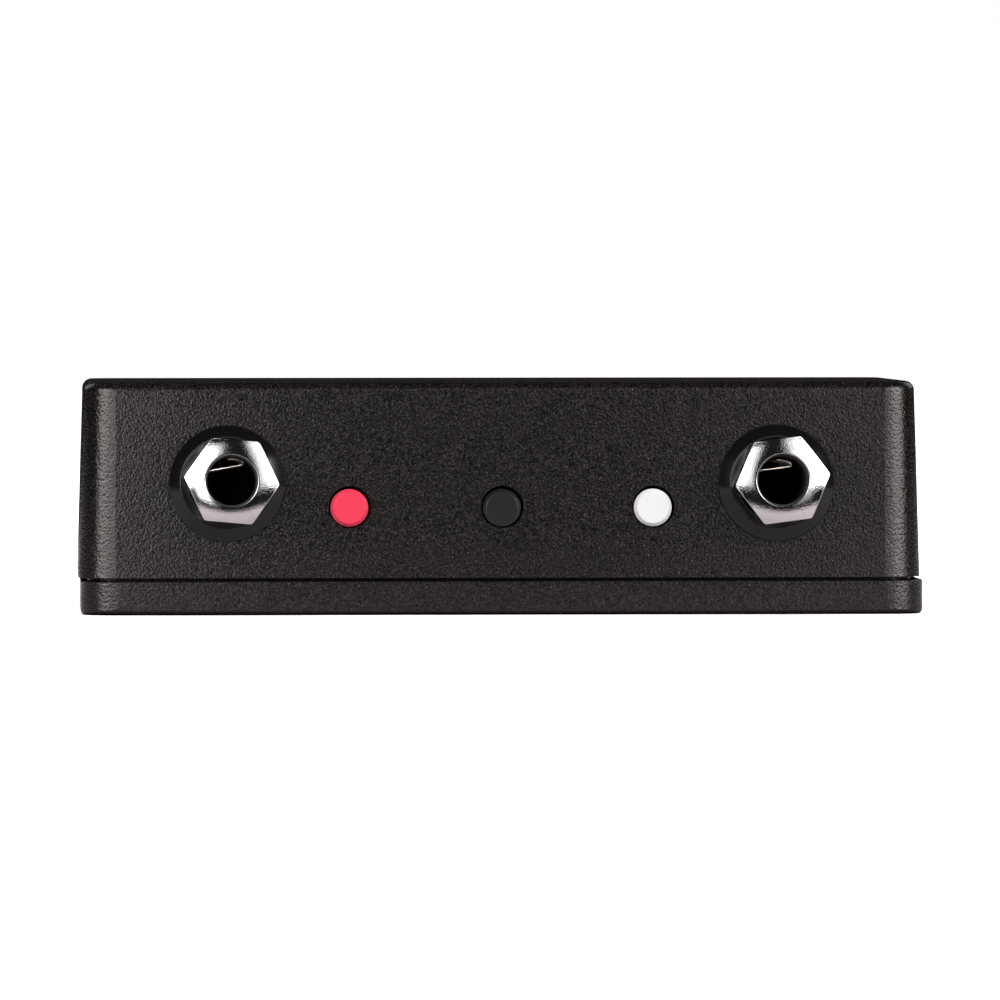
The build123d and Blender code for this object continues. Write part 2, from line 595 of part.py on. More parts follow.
def make_circuit_board():
    """Board that carries the jacks, the switches and the transformer."""
    with BuildPart() as board:
        with BuildSketch(BOARD.offset(-BOARD_THICKNESS)):
            with Locations((BOARD_PLAY, (BOARD_FRONT + BOARD_REAR) / 2)):
                Rectangle(BOARD_LENGTH, BOARD_REAR - BOARD_FRONT)
            with Locations(*all_switch_pins()):
                Circle(SWITCH_PIN_R + PIN_GAP, mode=Mode.SUBTRACT)
            with Locations(*transformer_pin_points()):
                Circle(TRANSFORMER_PIN_R + PIN_GAP, mode=Mode.SUBTRACT)
            with Locations(*resistor_pin_points(), *capacitor_pin_points()):
                Circle(LEAD_R + PIN_GAP, mode=Mode.SUBTRACT)
            with Locations(*terminal_points()):
                Rectangle(TERMINAL_WIDTH + 2 * PIN_GAP, LEAF_THICKNESS + 2 * PIN_GAP, mode=Mode.SUBTRACT)
            with Locations(*WIRE_PADS.values()):
                Circle(WIRE_R + PIN_GAP, mode=Mode.SUBTRACT)
        extrude(amount=BOARD_THICKNESS)
    write(board, "circuit_board")


def make_resistors():
    """Axial resistors lying on the board, each with its leads bent down through it."""
    lift = RESISTOR_R + 0.15
    bend = 1.0
    with BuildPart() as resistors:
        for y in resistor_rows():
            middle = at(BOARD, RESISTOR_AT[0], y, lift)
            across = Plane(origin=middle.origin, x_dir=middle.x_dir, z_dir=-middle.y_dir)
            with BuildSketch(Plane(origin=middle.origin, x_dir=middle.y_dir, z_dir=middle.x_dir)):
                Circle(RESISTOR_R)
            extrude(amount=RESISTOR_LENGTH / 2, both=True)
            with BuildLine(across) as lead:
                half = RESISTOR_SPAN / 2
                low = -lift - BELOW_BOARD
                FilletPolyline((-half, low), (-half, 0), (half, 0), (half, low), radius=bend)
            with BuildSketch(Plane(origin=lead.line @ 0, z_dir=lead.line % 0)):
                Circle(LEAD_R)
            sweep(path=lead.line)
    write(resistors, "resistors")


def make_capacitors():
    """Boxed film capacitors with straight leads."""
    with BuildPart() as capacitors:
        for x, y in CAPACITOR_AT:
            with BuildSketch(at(BOARD, x, y, 0.1)):
                RectangleRounded(CAPACITOR[0], CAPACITOR[1], 0.3)
            extrude(amount=CAPACITOR[2])
        with BuildSketch(BOARD.offset(-BELOW_BOARD)):
            with Locations(*capacitor_pin_points()):
                Circle(LEAD_R)
        extrude(amount=BELOW_BOARD + 0.2)
    write(capacitors, "film_capacitors")


# ----------------------------------------------------------------------------------------- transformer
def make_transformer():
    """Laminated core, bobbin, both windings with their tape, and the pins."""
    middle = at(BOARD, *TRANSFORMER_AT, CORE_LIFT + CORE_HEIGHT / 2)
    front_view = Plane(origin=middle.origin, x_dir=middle.x_dir, z_dir=-middle.y_dir)
    end_view = Plane(origin=middle.origin, x_dir=middle.y_dir, z_dir=middle.x_dir)
    window_up = CORE_LEG / 2 + CORE_WINDOW[1] / 2
    with BuildPart() as core:
        with BuildSketch(front_view):
            Rectangle(CORE_LENGTH, CORE_HEIGHT)
            with Locations((0, window_up), (0, -window_up)):
                Rectangle(*CORE_WINDOW, mode=Mode.SUBTRACT)
        extrude(amount=CORE_STACK / 2, both=True)
    write(core, "transformer_core")

    tube = (CORE_STACK + 2 * BOBBIN_GAP, CORE_LEG + 2 * BOBBIN_GAP)
    half_length = CORE_WINDOW[0] / 2 - BOBBIN_GAP
    reach = bobbin_reach()
    flange_up = CORE_LEG / 2 + CORE_WINDOW[1] - BOBBIN_GAP
    foot = CORE_LIFT + CORE_HEIGHT / 2
    rail_in = CORE_STACK / 2 + 2 * BOBBIN_GAP
    rail_top = CORE_LIFT + 1.0
    with BuildPart() as bobbin:
        with BuildSketch(end_view):
            Rectangle(tube[0] + 2 * BOBBIN_WALL, tube[1] + 2 * BOBBIN_WALL)
        extrude(amount=half_length, both=True)
        for side in (-1, 1):
            with BuildSketch(end_view.offset(side * (half_length - BOBBIN_FLANGE / 2))):
                Rectangle(2 * reach, 2 * flange_up)
                for way in (-1, 1):
                    with Locations((way * (reach + rail_in) / 2, -flange_up)):
                        Rectangle(reach - rail_in, foot - flange_up, align=(Align.CENTER, Align.MAX))
            extrude(amount=BOBBIN_FLANGE / 2, both=True)
        with BuildSketch(end_view):
            Rectangle(*tube)
        extrude(amount=half_length, both=True, mode=Mode.SUBTRACT)
        with BuildSketch(at(BOARD, *TRANSFORMER_AT)):
            for way in (-1, 1):
                with Locations((0, way * (reach + rail_in) / 2)):
                    Rectangle(2 * half_length, reach - rail_in)
        extrude(amount=rail_top)
        with BuildSketch(BOARD):
            with Locations(*transformer_pin_points()):
                Circle(TRANSFORMER_PIN_R + 0.02)
        extrude(amount=rail_top - 0.5, mode=Mode.SUBTRACT)
    write(bobbin, "transformer_bobbin")

    build = BOBBIN_WALL
    layers = (
        ("transformer_primary", WINDING_BUILD[0]),
        ("transformer_secondary", WINDING_BUILD[1]),
        ("transformer_tape", TAPE_BUILD),
    )
    for node, thickness in layers:
        with BuildPart() as layer:
            with BuildSketch(end_view):
                Rectangle(tube[0] + 2 * (build + thickness), tube[1] + 2 * (build + thickness))
                Rectangle(tube[0] + 2 * build, tube[1] + 2 * build, mode=Mode.SUBTRACT)
            extrude(amount=half_length - BOBBIN_FLANGE, both=True)
        write(layer, node)
        build += thickness

    with BuildPart() as pins:
        with BuildSketch(BOARD.offset(-BELOW_BOARD)):
            with Locations(*transformer_pin_points()):
                Circle(TRANSFORMER_PIN_R)
        extrude(amount=BELOW_BOARD + rail_top - 0.5)
    write(pins, "transformer_pins")


# ------------------------------------------------------------------------------------------ XLR output
def xlr_screw_points():
    """Both flange screws, on the falling diagonal seen from behind the box."""
    return [(-XLR_SCREW_AT[0], XLR_UP - XLR_SCREW_AT[1]), (XLR_SCREW_AT[0], XLR_UP + XLR_SCREW_AT[1])]


def xlr_pin_points():
    """The three contact places: two above, one below."""
    return [
        (XLR_PIN_CIRCLE_R * cos(radians(angle)), XLR_UP + XLR_PIN_CIRCLE_R * sin(radians(angle)))
        for angle in (30, 150, 270)
    ]


def make_xlr_shell():
    """Cup that takes the plug's nose, with its flange behind the wall, the key and the latch window."""
    insert_face = XLR_PROUD - XLR_DEPTH
    with BuildPart() as shell:
        with BuildSketch(REAR.offset(XLR_PROUD)):
            with Locations((0, XLR_UP)):
                Circle(XLR_CUP_R)
        extrude(amount=-XLR_DEPTH - XLR_INSERT)
        with BuildSketch(REAR.offset(-WALL_NORMAL)):
            with Locations((0, XLR_UP)):
                RectangleRounded(*XLR_FLANGE, 2.0)
        extrude(amount=-XLR_FLANGE_THICKNESS)
        with BuildSketch(REAR.offset(XLR_PROUD)):
            with Locations((0, XLR_UP)):
                Circle(XLR_CAVITY_R)
        extrude(amount=-XLR_DEPTH - XLR_INSERT, mode=Mode.SUBTRACT)
        with BuildSketch(REAR.offset(-WALL_NORMAL)):
            with Locations(*xlr_screw_points()):
                Circle(SCREW_R + SCREW_GAP)
        extrude(amount=-XLR_FLANGE_THICKNESS, mode=Mode.SUBTRACT)
        with BuildSketch(REAR.offset(-WALL_NORMAL - XLR_LATCH[2])):
            with Locations((0, XLR_UP + XLR_CUP_R)):
                Rectangle(XLR_LATCH[0], 2 * (XLR_CUP_R - XLR_CAVITY_R) + 1)
        extrude(amount=-XLR_LATCH[1], mode=Mode.SUBTRACT)
        with BuildSketch(REAR.offset(insert_face)):
            with Locations((0, XLR_UP - XLR_CAVITY_R)):
                Rectangle(XLR_KEY[0], 2 * XLR_KEY[1])
        extrude(amount=XLR_DEPTH - 2 * XLR_PIN_SETBACK)
    write(shell, "xlr_shell")


def make_xlr_insert():
    """Insulating disc that holds the three contacts at the bottom of the cup."""
    with BuildPart() as insert:
        with BuildSketch(REAR.offset(XLR_PROUD - XLR_DEPTH)):
            with Locations((0, XLR_UP)):
                Circle(XLR_CAVITY_R - THREAD_GAP)
            with Locations(*xlr_pin_points()):
                Circle(XLR_PIN_R + XLR_PIN_SHOULDER + 0.02, mode=Mode.SUBTRACT)
        extrude(amount=-XLR_INSERT)
    write(insert, "xlr_insert")


def make_xlr_pins():
    """Three contact pins with rounded noses and solder cups."""
    back = XLR_PROUD - XLR_DEPTH - XLR_INSERT - XLR_TAIL
    length = XLR_DEPTH + XLR_INSERT + XLR_TAIL - XLR_PIN_SETBACK
    with BuildPart() as pins:
        for x, y in xlr_pin_points():
            foot = at(REAR, x, y, back)
            with BuildSketch(foot):
                Circle(XLR_PIN_R)
            extrude(amount=length)
            with BuildSketch(foot):
                Circle(XLR_PIN_R + XLR_PIN_SHOULDER)
            extrude(amount=XLR_TAIL + XLR_INSERT)
        noses = pins.edges().filter_by(GeomType.CIRCLE).group_by(Axis(REAR.origin, REAR.z_dir))[-1]
        fillet(noses, XLR_PIN_R * 0.8)
        for x, y in xlr_pin_points():
            with BuildSketch(at(REAR, x, y, back)):
                Circle(XLR_CUP_BORE_R)
            extrude(amount=XLR_TAIL - 1, mode=Mode.SUBTRACT)
    write(pins, "xlr_pins")


def make_xlr_fixings():
    """Two countersunk screws with their nuts, and the earth lug under the lower nut."""
    behind = -WALL_NORMAL - XLR_FLANGE_THICKNESS
    with BuildPart() as screws:
        with Locations(*[at(REAR, x, y) for x, y in xlr_screw_points()]):
            add(countersunk_screw(XLR_SCREW_LENGTH))
    write(screws, "xlr_screws")

    with BuildPart() as nuts:
        for (x, y), washer in zip(xlr_screw_points(), (LUG_THICKNESS, 0)):
            with BuildSketch(at(REAR, x, y, behind - washer)):
                RegularPolygon(NUT_M3_FLATS / 2, 6, major_radius=False)
                Circle(SCREW_R + THREAD_GAP, mode=Mode.SUBTRACT)
            extrude(amount=-NUT_M3_HEIGHT)
    write(nuts, "xlr_nuts")

    x, y = xlr_screw_points()[0]
    with BuildPart() as lug:
        with BuildSketch(at(REAR, x, y, behind)):
            Circle(LUG_R)
            with Locations((-LUG_R, 0)):
                Rectangle(LUG_R, LUG_TAIL[0])
            Circle(SCREW_R + SCREW_GAP, mode=Mode.SUBTRACT)
        extrude(amount=-LUG_THICKNESS)
        with BuildSketch(at(REAR, x - 1.5 * LUG_R + LUG_THICKNESS / 2, y, behind)):
            Rectangle(LUG_THICKNESS, LUG_TAIL[0])
        extrude(amount=-LUG_TAIL[1])
    write(lug, "earth_lug")


# --------------------------------------------------------------------------------------- internal wires
WIRE_PADS = {
    "lead_hot": (-3.6, BOARD_REAR - 2.0),
    "lead_shield": (0.0, BOARD_REAR - 4.2),
    "lead_cold": (3.6, BOARD_REAR - 1.6),
    "lead_earth": (17.4, BOARD_REAR - 1.7),
}


def make_wires():
    """Insulated leads from the XLR contacts and the earth lug down into the board."""
    pins = xlr_pin_points()
    back = XLR_PROUD - XLR_DEPTH - XLR_INSERT - XLR_TAIL
    lug_x, lug_y = xlr_screw_points()[0]
    starts = {
        "lead_hot": (*pins[0], back),
        "lead_shield": (*pins[2], back),
        "lead_cold": (*pins[1], back),
        "lead_earth": (
            lug_x - 1.5 * LUG_R + LUG_THICKNESS / 2,
            lug_y,
            -WALL_NORMAL - XLR_FLANGE_THICKNESS - LUG_TAIL[1],
        ),
    }
    for node, start in starts.items():
        out = REAR.from_local_coords(start)
        out_next = REAR.from_local_coords((start[0], start[1], start[2] - 2.5))
        pad_x, pad_y = WIRE_PADS[node]
        down = BOARD.from_local_coords((pad_x, pad_y, -BELOW_BOARD + 1))
        down_next = BOARD.from_local_coords((pad_x, pad_y, 2.0))
        run = min(2.5, (down_next - out_next).length)
        with BuildPart() as wire:
            with BuildLine() as route:
                FilletPolyline(out, out_next, down_next, down, radius=0.45 * run)
            with BuildSketch(Plane(origin=route.line @ 0, z_dir=route.line % 0)):
                Circle(WIRE_R)
            sweep(path=route.line)
        write(wire, node)


def main():
    """Build every piece."""
    os.makedirs("parts", exist_ok=True)
    make_enclosure()
    make_base_lid()
    make_lid_screws()
    for (name, x), turn in zip(JACKS.items(), (-5.0, 7.5)):
        make_jack_body(name, x)
        make_jack_bezel(name, x)
        make_jack_nut(name, x, turn)
        make_tip_contact(name, x)
        make_sleeve_contact(name, x)
    for name, x in BUTTONS.items():
        make_switch(name, x)
    make_switch_pins()
    make_circuit_board()
    make_resistors()
    make_capacitors()
    make_transformer()
    make_xlr_shell()
    make_xlr_insert()
    make_xlr_pins()
    make_xlr_fixings()
    make_wires()


main()
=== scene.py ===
"""Looks of a small passive direct injection box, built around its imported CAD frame.

The die-cast box, its lid, the jacks, the push buttons, the XLR output and everything inside come from
the frame. The hexagon nuts, bezels, button caps and tip contacts are modelled again here with the
rounded edges that catch light, and every piece gets a finish with the detail of its real material.
"""

import json
import logging
from dataclasses import dataclass, field
from enum import Enum
from math import cos, pi, radians, sin, sqrt, tan
from typing import Any, Callable, Iterable, Sequence

import bpy
from mathutils import Matrix, Vector

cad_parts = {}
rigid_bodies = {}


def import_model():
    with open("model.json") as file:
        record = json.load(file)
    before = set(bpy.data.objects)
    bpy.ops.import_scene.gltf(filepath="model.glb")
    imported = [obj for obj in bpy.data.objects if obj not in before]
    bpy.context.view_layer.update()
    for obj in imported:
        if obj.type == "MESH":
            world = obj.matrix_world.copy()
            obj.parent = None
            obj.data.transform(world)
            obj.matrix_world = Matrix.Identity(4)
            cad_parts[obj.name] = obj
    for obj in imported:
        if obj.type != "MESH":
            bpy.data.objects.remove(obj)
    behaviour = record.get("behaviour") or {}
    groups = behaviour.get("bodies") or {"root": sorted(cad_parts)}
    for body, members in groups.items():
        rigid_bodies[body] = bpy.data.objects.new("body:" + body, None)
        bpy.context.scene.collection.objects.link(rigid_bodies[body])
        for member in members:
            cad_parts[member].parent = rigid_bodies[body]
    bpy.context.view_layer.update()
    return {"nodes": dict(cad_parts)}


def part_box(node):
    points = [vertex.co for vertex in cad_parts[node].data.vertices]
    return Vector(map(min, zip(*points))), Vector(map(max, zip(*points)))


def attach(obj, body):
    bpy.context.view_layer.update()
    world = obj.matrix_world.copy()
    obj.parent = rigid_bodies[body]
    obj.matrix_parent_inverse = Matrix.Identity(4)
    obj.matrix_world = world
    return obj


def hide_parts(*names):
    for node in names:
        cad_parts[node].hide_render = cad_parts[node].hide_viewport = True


LOG = logging.getLogger("direct_box")
MM = 0.001
SHARP_ANGLE = 50  # degrees between faces from which their edge stays sharp

Point2 = tuple[float, float]
Point3 = tuple[float, float, float]
Ring = list[Vector]


# ------------------------------------------------------------------------------------- small tools
def to_linear(colour: str) -> tuple[float, float, float, float]:
    """Turns an sRGB hex colour into linear RGBA.

    Args:
        colour: Six hex digits, with or without a leading hash.

    Returns:
        Linear red, green, blue and an alpha of 1.
    """
    digits = colour.lstrip("#")
    channels = [int(digits[i : i + 2], 16) / 255 for i in (0, 2, 4)]
    red, green, blue = (c / 12.92 if c <= 0.04045 else ((c + 0.055) / 1.055) ** 2.4 for c in channels)
    return (red, green, blue, 1.0)


def add_node(
    tree: bpy.types.NodeTree, kind: str, inputs: dict[Any, Any] | None = None, **settings: Any
) -> Any:
    """Adds one node with its settings, input values and links.

    Args:
        tree: The node tree that takes it.
        kind: The node's type name.
        inputs: A value or an output socket for each input, by name or index.
        **settings: Properties of the node itself.

    Returns:
        The new node.
    """
    node = tree.nodes.new(kind)
    for key, value in settings.items():
        setattr(node, key, value)
    for name, value in (inputs or {}).items():
        if isinstance(value, bpy.types.NodeSocket):
            tree.links.new(value, node.inputs[name])
        else:
            node.inputs[name].default_value = value
    return node


def per_metre(size_mm: float) -> float:
    """Finds a texture's scale.

    Args:
        size_mm: The size that its cells should have, in millimetres.

    Returns:
        The scale, in cells per metre.
    """
    return 1.0 / (size_mm * MM)


def rounded(corners: Sequence[Point3], steps: int = 4) -> list[Point2]:
    """Rounds the corners of a closed profile.

    Args:
        corners: Each corner's two coordinates and its fillet radius.
        steps: Segments in each fillet.

    Returns:
        The points of the rounded profile.
    """
    points: list[Point2] = []
    for i, (x, y, radius) in enumerate(corners):
        here = Vector((x, y))
        before = Vector(corners[i - 1][:2]) - here
        after = Vector(corners[(i + 1) % len(corners)][:2]) - here
        if radius <= 0:
            points.append((x, y))
            continue
        half = before.angle(after) / 2
        reach = min(radius / tan(half), 0.49 * before.length, 0.49 * after.length)
        start, end = here + before.normalized() * reach, here + after.normalized() * reach
        for k in range(steps + 1):
            t = k / steps
            bend = start * (1 - t) ** 2 + here * 2 * t * (1 - t) + end * t**2
            points.append((bend.x, bend.y))
    return points


def ring_mesh(name: str, rings: Sequence[Ring], place: Matrix, closed: bool) -> bpy.types.Object:
    """Joins rings of equal length into one smooth mesh.

    Args:
        name: The piece's name.
        rings: Rings of points in millimetres, in order.
        place: Where the piece's own axes lie, in metres.
        closed: True joins the last ring to the first, False caps both ends.

    Returns:
        The linked object.
    """
    count = len(rings[0])
    vertices = [place @ (point * MM) for ring in rings for point in ring]
    faces: list[tuple[int, ...]] = []
    pairs = len(rings) if closed else len(rings) - 1
    for i in range(pairs):
        a, b = i * count, (i + 1) % len(rings) * count
        for k in range(count):
            n = (k + 1) % count
            faces.append((a + k, a + n, b + n, b + k))
    if not closed:
        faces.append(tuple(range(count - 1, -1, -1)))
        last = (len(rings) - 1) * count
        faces.append(tuple(range(last, last + count)))
    mesh = bpy.data.meshes.new(name)
    mesh.from_pydata(vertices, [], faces)
    mesh.validate()
    mesh.polygons.foreach_set("use_smooth", [True] * len(mesh.polygons))
    mesh.set_sharp_from_angle(angle=radians(SHARP_ANGLE))
    obj = bpy.data.objects.new(name, mesh)
    bpy.context.scene.collection.objects.link(obj)
    return obj


def circle(radius: float, height: float, angles: Sequence[float]) -> Ring:
    """One round ring of points about the piece's own Z axis."""
    return [Vector((radius * cos(a), radius * sin(a), height)) for a in angles]


def lathe(
    name: str, profile: Sequence[Point2], place: Matrix, closed: bool, steps: int = 96
) -> bpy.types.Object:
    """Turns a profile about the piece's own Z axis.

    Args:
        name: The piece's name.
        profile: Radius and height of each point, in millimetres.
        place: Where the piece's own axes lie, in metres.
        closed: Whether the last point joins the first.
        steps: Segments round the axis.

    Returns:
        The linked object.
    """
    angles = [2 * pi * k / steps for k in range(steps)]
    return ring_mesh(name, [circle(r, h, angles) for r, h in profile], place, closed)


# ---------------------------------------------------------------------------------------- finishes
@dataclass(frozen=True)
class Finish:
    """A surface finish: its name, its sRGB colour and how rough it is."""

    name: str
    colour: str
    roughness: float

    def material(self) -> bpy.types.Material:
        """Builds the material.

        Returns:
            A material whose Principled shader the finish has dressed.
        """
        known = bpy.data.materials.get(self.name)
        if known:
            return known
        made = bpy.data.materials.new(self.name)
        made.use_nodes = True
        tree = made.node_tree
        tree.nodes.clear()
        shader = add_node(tree, "ShaderNodeBsdfPrincipled")
        add_node(tree, "ShaderNodeOutputMaterial", {"Surface": shader.outputs["BSDF"]})
        where = add_node(tree, "ShaderNodeTexCoord").outputs["Object"]
        shader.inputs["Base Color"].default_value = to_linear(self.colour)
        shader.inputs["Roughness"].default_value = self.roughness
        self.dress(tree, shader, where)
        made.diffuse_color = to_linear(self.colour)
        return made

    def dress(self, tree: bpy.types.NodeTree, shader: Any, where: Any) -> None:
        """Adds the finish's own detail.

        Args:
            tree: The material's nodes.
            shader: Its Principled shader.
            where: The position on the piece.
        """

    def noise(self, tree: bpy.types.NodeTree, where: Any, size_mm: float, detail: float = 2.0) -> Any:
        """Noise between 0 and 1 with features of this size."""
        inputs = {"Vector": where, "Scale": per_metre(size_mm), "Detail": detail}
        return add_node(tree, "ShaderNodeTexNoise", inputs).outputs["Fac"]

    def spread(self, tree: bpy.types.NodeTree, value: Any, source: Point2, target: Point2) -> Any:
        """Maps a value from one range to another, and keeps it inside that."""
        names = ("From Min", "From Max", "To Min", "To Max")
        inputs = {"Value": value, **dict(zip(names, (*source, *target)))}
        return add_node(tree, "ShaderNodeMapRange", inputs).outputs["Result"]

    def share(self, tree: bpy.types.NodeTree, value: Any, source: Point2) -> Any:
        """Maps a range of values to 0 and 1."""
        return self.spread(tree, value, source, (0.0, 1.0))

    def times(self, tree: bpy.types.NodeTree, first: Any, second: Any) -> Any:
        """Product of two values."""
        return self.calculate(tree, "MULTIPLY", first, second)

    def plus(self, tree: bpy.types.NodeTree, first: Any, second: Any) -> Any:
        """Sum of two values."""
        return self.calculate(tree, "ADD", first, second)

    def mix(self, tree: bpy.types.NodeTree, factor: Any, first: Any, second: Any) -> Any:
        """Mixes two colours, each an output socket or an sRGB hex colour."""
        node = add_node(tree, "ShaderNodeMix", {0: factor}, data_type="RGBA")
        for socket, value in ((node.inputs[6], first), (node.inputs[7], second)):
            if isinstance(value, bpy.types.NodeSocket):
                tree.links.new(value, socket)
            else:
                socket.default_value = to_linear(value)
        return node.outputs[2]

    def calculate(self, tree: bpy.types.NodeTree, operation: str, first: Any, second: Any) -> Any:
        """One step of arithmetic."""
        return add_node(tree, "ShaderNodeMath", {0: first, 1: second}, operation=operation).outputs[0]

    def edges(self, tree: bpy.types.NodeTree, width_mm: float) -> tuple[Any, Any]:
        """Finds the piece's edges.

        Args:
            tree: The material's nodes.
            width_mm: How far from an edge it still counts.

        Returns:
            A normal that rounds the edges, and how much each point belongs to one.
        """
        soft = add_node(tree, "ShaderNodeBevel", {"Radius": width_mm * MM}, samples=4).outputs["Normal"]
        flat = add_node(tree, "ShaderNodeNewGeometry").outputs["Normal"]
        dot = add_node(tree, "ShaderNodeVectorMath", {0: soft, 1: flat}, operation="DOT_PRODUCT")
        return soft, self.share(tree, dot.outputs["Value"], (0.99, 0.85))

    def bump(
        self, tree: bpy.types.NodeTree, height: Any, depth_mm: float, strength: float, normal: Any = None
    ) -> Any:
        """Turns a height into a normal.

        Args:
            tree: The material's nodes.
            height: A height from 0 to 1.
            depth_mm: The depth that a height of 1 stands for.
            strength: How strongly it shows.
            normal: The normal to start from, if not the surface's own.

        Returns:
            The bumped normal.
        """
        inputs = {"Height": height, "Distance": depth_mm * MM, "Strength": strength}
        if normal is not None:
            inputs["Normal"] = normal
        return add_node(tree, "ShaderNodeBump", inputs).outputs["Normal"]


@dataclass(frozen=True)
class PowderCoat(Finish):
    """Polyester powder baked on die-cast aluminium: fine leathery wrinkles, tiny paler grains that double as
    painted glints, and painted shade in its crevices.
    """

    grain_mm: float = 0.34
    warp_mm: float = 0.6
    warp: float = 0.0002
    fine_mm: float = 0.24
    peel_mm: float = 1.6
    peel: float = 0.7
    relief_mm: float = 0.046
    mottle_mm: float = 0.26
    cloud_mm: float = 3.5
    cloud: float = 0.05
    speck_mm: float = 0.5
    grain_and_glint_colour: str = "4a4440"
    pit_colour: str = "080606"
    edge_wear_and_highlight_colour: str = "6a6663"
    edge_wear_and_highlight: float = 0.12
    painted_shade_colour: str = "050404"
    painted_shade_reach_mm: float = 1.5
    tint: str = "fff8f4"
    gloss: float = 0.52
    top_gloss: float = 0.12
    top_matt: float = 0.55

    def relief(self, tree: bpy.types.NodeTree, where: Any) -> Any:
        """Height of the melted grains, with orange peel below them."""
        noise = {"Vector": where, "Scale": per_metre(self.warp_mm), "Detail": 1.0}
        drift = add_node(tree, "ShaderNodeTexNoise", noise).outputs["Color"]
        bent = add_node(tree, "ShaderNodeMix", {0: self.warp, 4: where, 5: drift}, data_type="VECTOR")
        cells = add_node(
            tree,
            "ShaderNodeTexVoronoi",
            {"Vector": bent.outputs[1], "Scale": per_metre(self.grain_mm), "Smoothness": 0.7},
            feature="SMOOTH_F1",
        ).outputs["Distance"]
        fine = self.noise(tree, where, self.fine_mm, 3.0)
        peel = self.noise(tree, where, self.peel_mm)
        height = self.plus(tree, self.times(tree, cells, -0.8), fine)
        return self.plus(tree, height, self.times(tree, peel, self.peel))

    def grain_and_glint_specks(self, tree: bpy.types.NodeTree, where: Any) -> Any:
        """How much each point belongs to one of the scattered paler specks, which are paler grains and
        painted glints in one.
        """
        inputs = {"Vector": where, "Scale": per_metre(self.speck_mm)}
        cells = add_node(tree, "ShaderNodeTexVoronoi", inputs, feature="F1")
        near = self.share(tree, cells.outputs["Distance"], (0.3, 0.1))
        chance = add_node(tree, "ShaderNodeSeparateColor", {"Color": cells.outputs["Color"]}).outputs[0]
        return self.times(tree, near, self.share(tree, chance, (0.5, 1.0)))

    def dress(self, tree: bpy.types.NodeTree, shader: Any, where: Any) -> None:
        """Wrinkled sheen on the walls, a more matt top, and painted shade that darkens the colour and dims
        the specular in the crevices.
        """
        soft, edge = self.edges(tree, 0.1)
        shader.inputs["Specular Tint"].default_value = to_linear(self.tint)
        normal = self.bump(tree, self.relief(tree, where), self.relief_mm, 0.8, soft)
        tree.links.new(normal, shader.inputs["Normal"])
        cloudy = self.noise(tree, where, self.cloud_mm, 3.0)
        cloudy = self.spread(tree, cloudy, (0.3, 0.7), (-self.cloud, self.cloud))
        grains = self.share(tree, self.noise(tree, where, self.mottle_mm, 2.0), (0.38, 0.68))
        grains = self.plus(tree, grains, cloudy)
        base = self.mix(tree, grains, self.pit_colour, self.colour)
        # Paler specks: paler grains and painted glints together.
        base = self.mix(tree, self.grain_and_glint_specks(tree, where), base, self.grain_and_glint_colour)
        # Edges painted a little paler: worn coat, and painted highlight.
        base = self.mix(tree, self.times(tree, edge, self.edge_wear_and_highlight), base, self.edge_wear_and_highlight_colour)
        facing = add_node(tree, "ShaderNodeNewGeometry").outputs["True Normal"]
        up = add_node(tree, "ShaderNodeSeparateXYZ", {"Vector": facing}).outputs["Z"]
        level = self.share(tree, up, (0.8, 0.97))
        rough = self.spread(tree, grains, (0.1, 0.9), (self.roughness - 0.05, self.roughness + 0.1))
        rough = self.plus(tree, rough, self.times(tree, level, self.top_matt))
        tree.links.new(rough, shader.inputs["Roughness"])
        # Painted shade: ambient occlusion darkens the colour and dims the specular in crevices such as the
        # seam.
        reach = {"Distance": self.painted_shade_reach_mm * MM}
        open_sky = add_node(tree, "ShaderNodeAmbientOcclusion", reach, samples=4).outputs["AO"]
        unshaded = self.spread(tree, open_sky, (0.3, 0.62), (0.1, 1.0))
        shine = self.spread(tree, level, (0.0, 1.0), (self.gloss, self.top_gloss))
        tree.links.new(self.times(tree, shine, unshaded), shader.inputs["Specular IOR Level"])
        tree.links.new(self.mix(tree, unshaded, self.painted_shade_colour, base), shader.inputs["Base Color"])


@dataclass(frozen=True)
class Moulded(Finish):
    """Injection-moulded plastic: a faint spark-eroded grain, slow colour drift and paler edges, partly wear
    and partly painted highlight.
    """

    grain_mm: float = 0.12
    grain: float = 0.25
    edge_wear_and_highlight: str = "808080"
    edge_wear_and_highlight_share: float = 0.12
    glow: float = 0.0

    def dress(self, tree: bpy.types.NodeTree, shader: Any, where: Any) -> None:
        """Fine mould texture under a soft sheen, with edges painted paler, partly as wear and partly as
        painted highlight.
        """
        fine = self.noise(tree, where, self.grain_mm, 2.0)
        drift = self.share(tree, self.noise(tree, where, 2.4), (0.3, 0.7))
        soft, edge = self.edges(tree, 0.1)
        tree.links.new(self.bump(tree, fine, 0.01, self.grain, soft), shader.inputs["Normal"])
        shade = self.mix(tree, self.times(tree, drift, 0.06), self.colour, "000000")
        # Edges painted paler: wear, and on the caps and bezels a painted highlight.
        shade = self.mix(tree, self.times(tree, edge, self.edge_wear_and_highlight_share), shade, self.edge_wear_and_highlight)
        tree.links.new(shade, shader.inputs["Base Color"])
        rough = self.spread(tree, fine, (0.3, 0.7), (self.roughness - 0.04, self.roughness + 0.06))
        tree.links.new(rough, shader.inputs["Roughness"])
        shader.inputs["IOR"].default_value = 1.5
        if self.glow:
            shader.inputs["Subsurface Weight"].default_value = self.glow
            shader.inputs["Subsurface Radius"].default_value = (0.6, 0.25, 0.25)
            shader.inputs["Subsurface Scale"].default_value = 0.0008


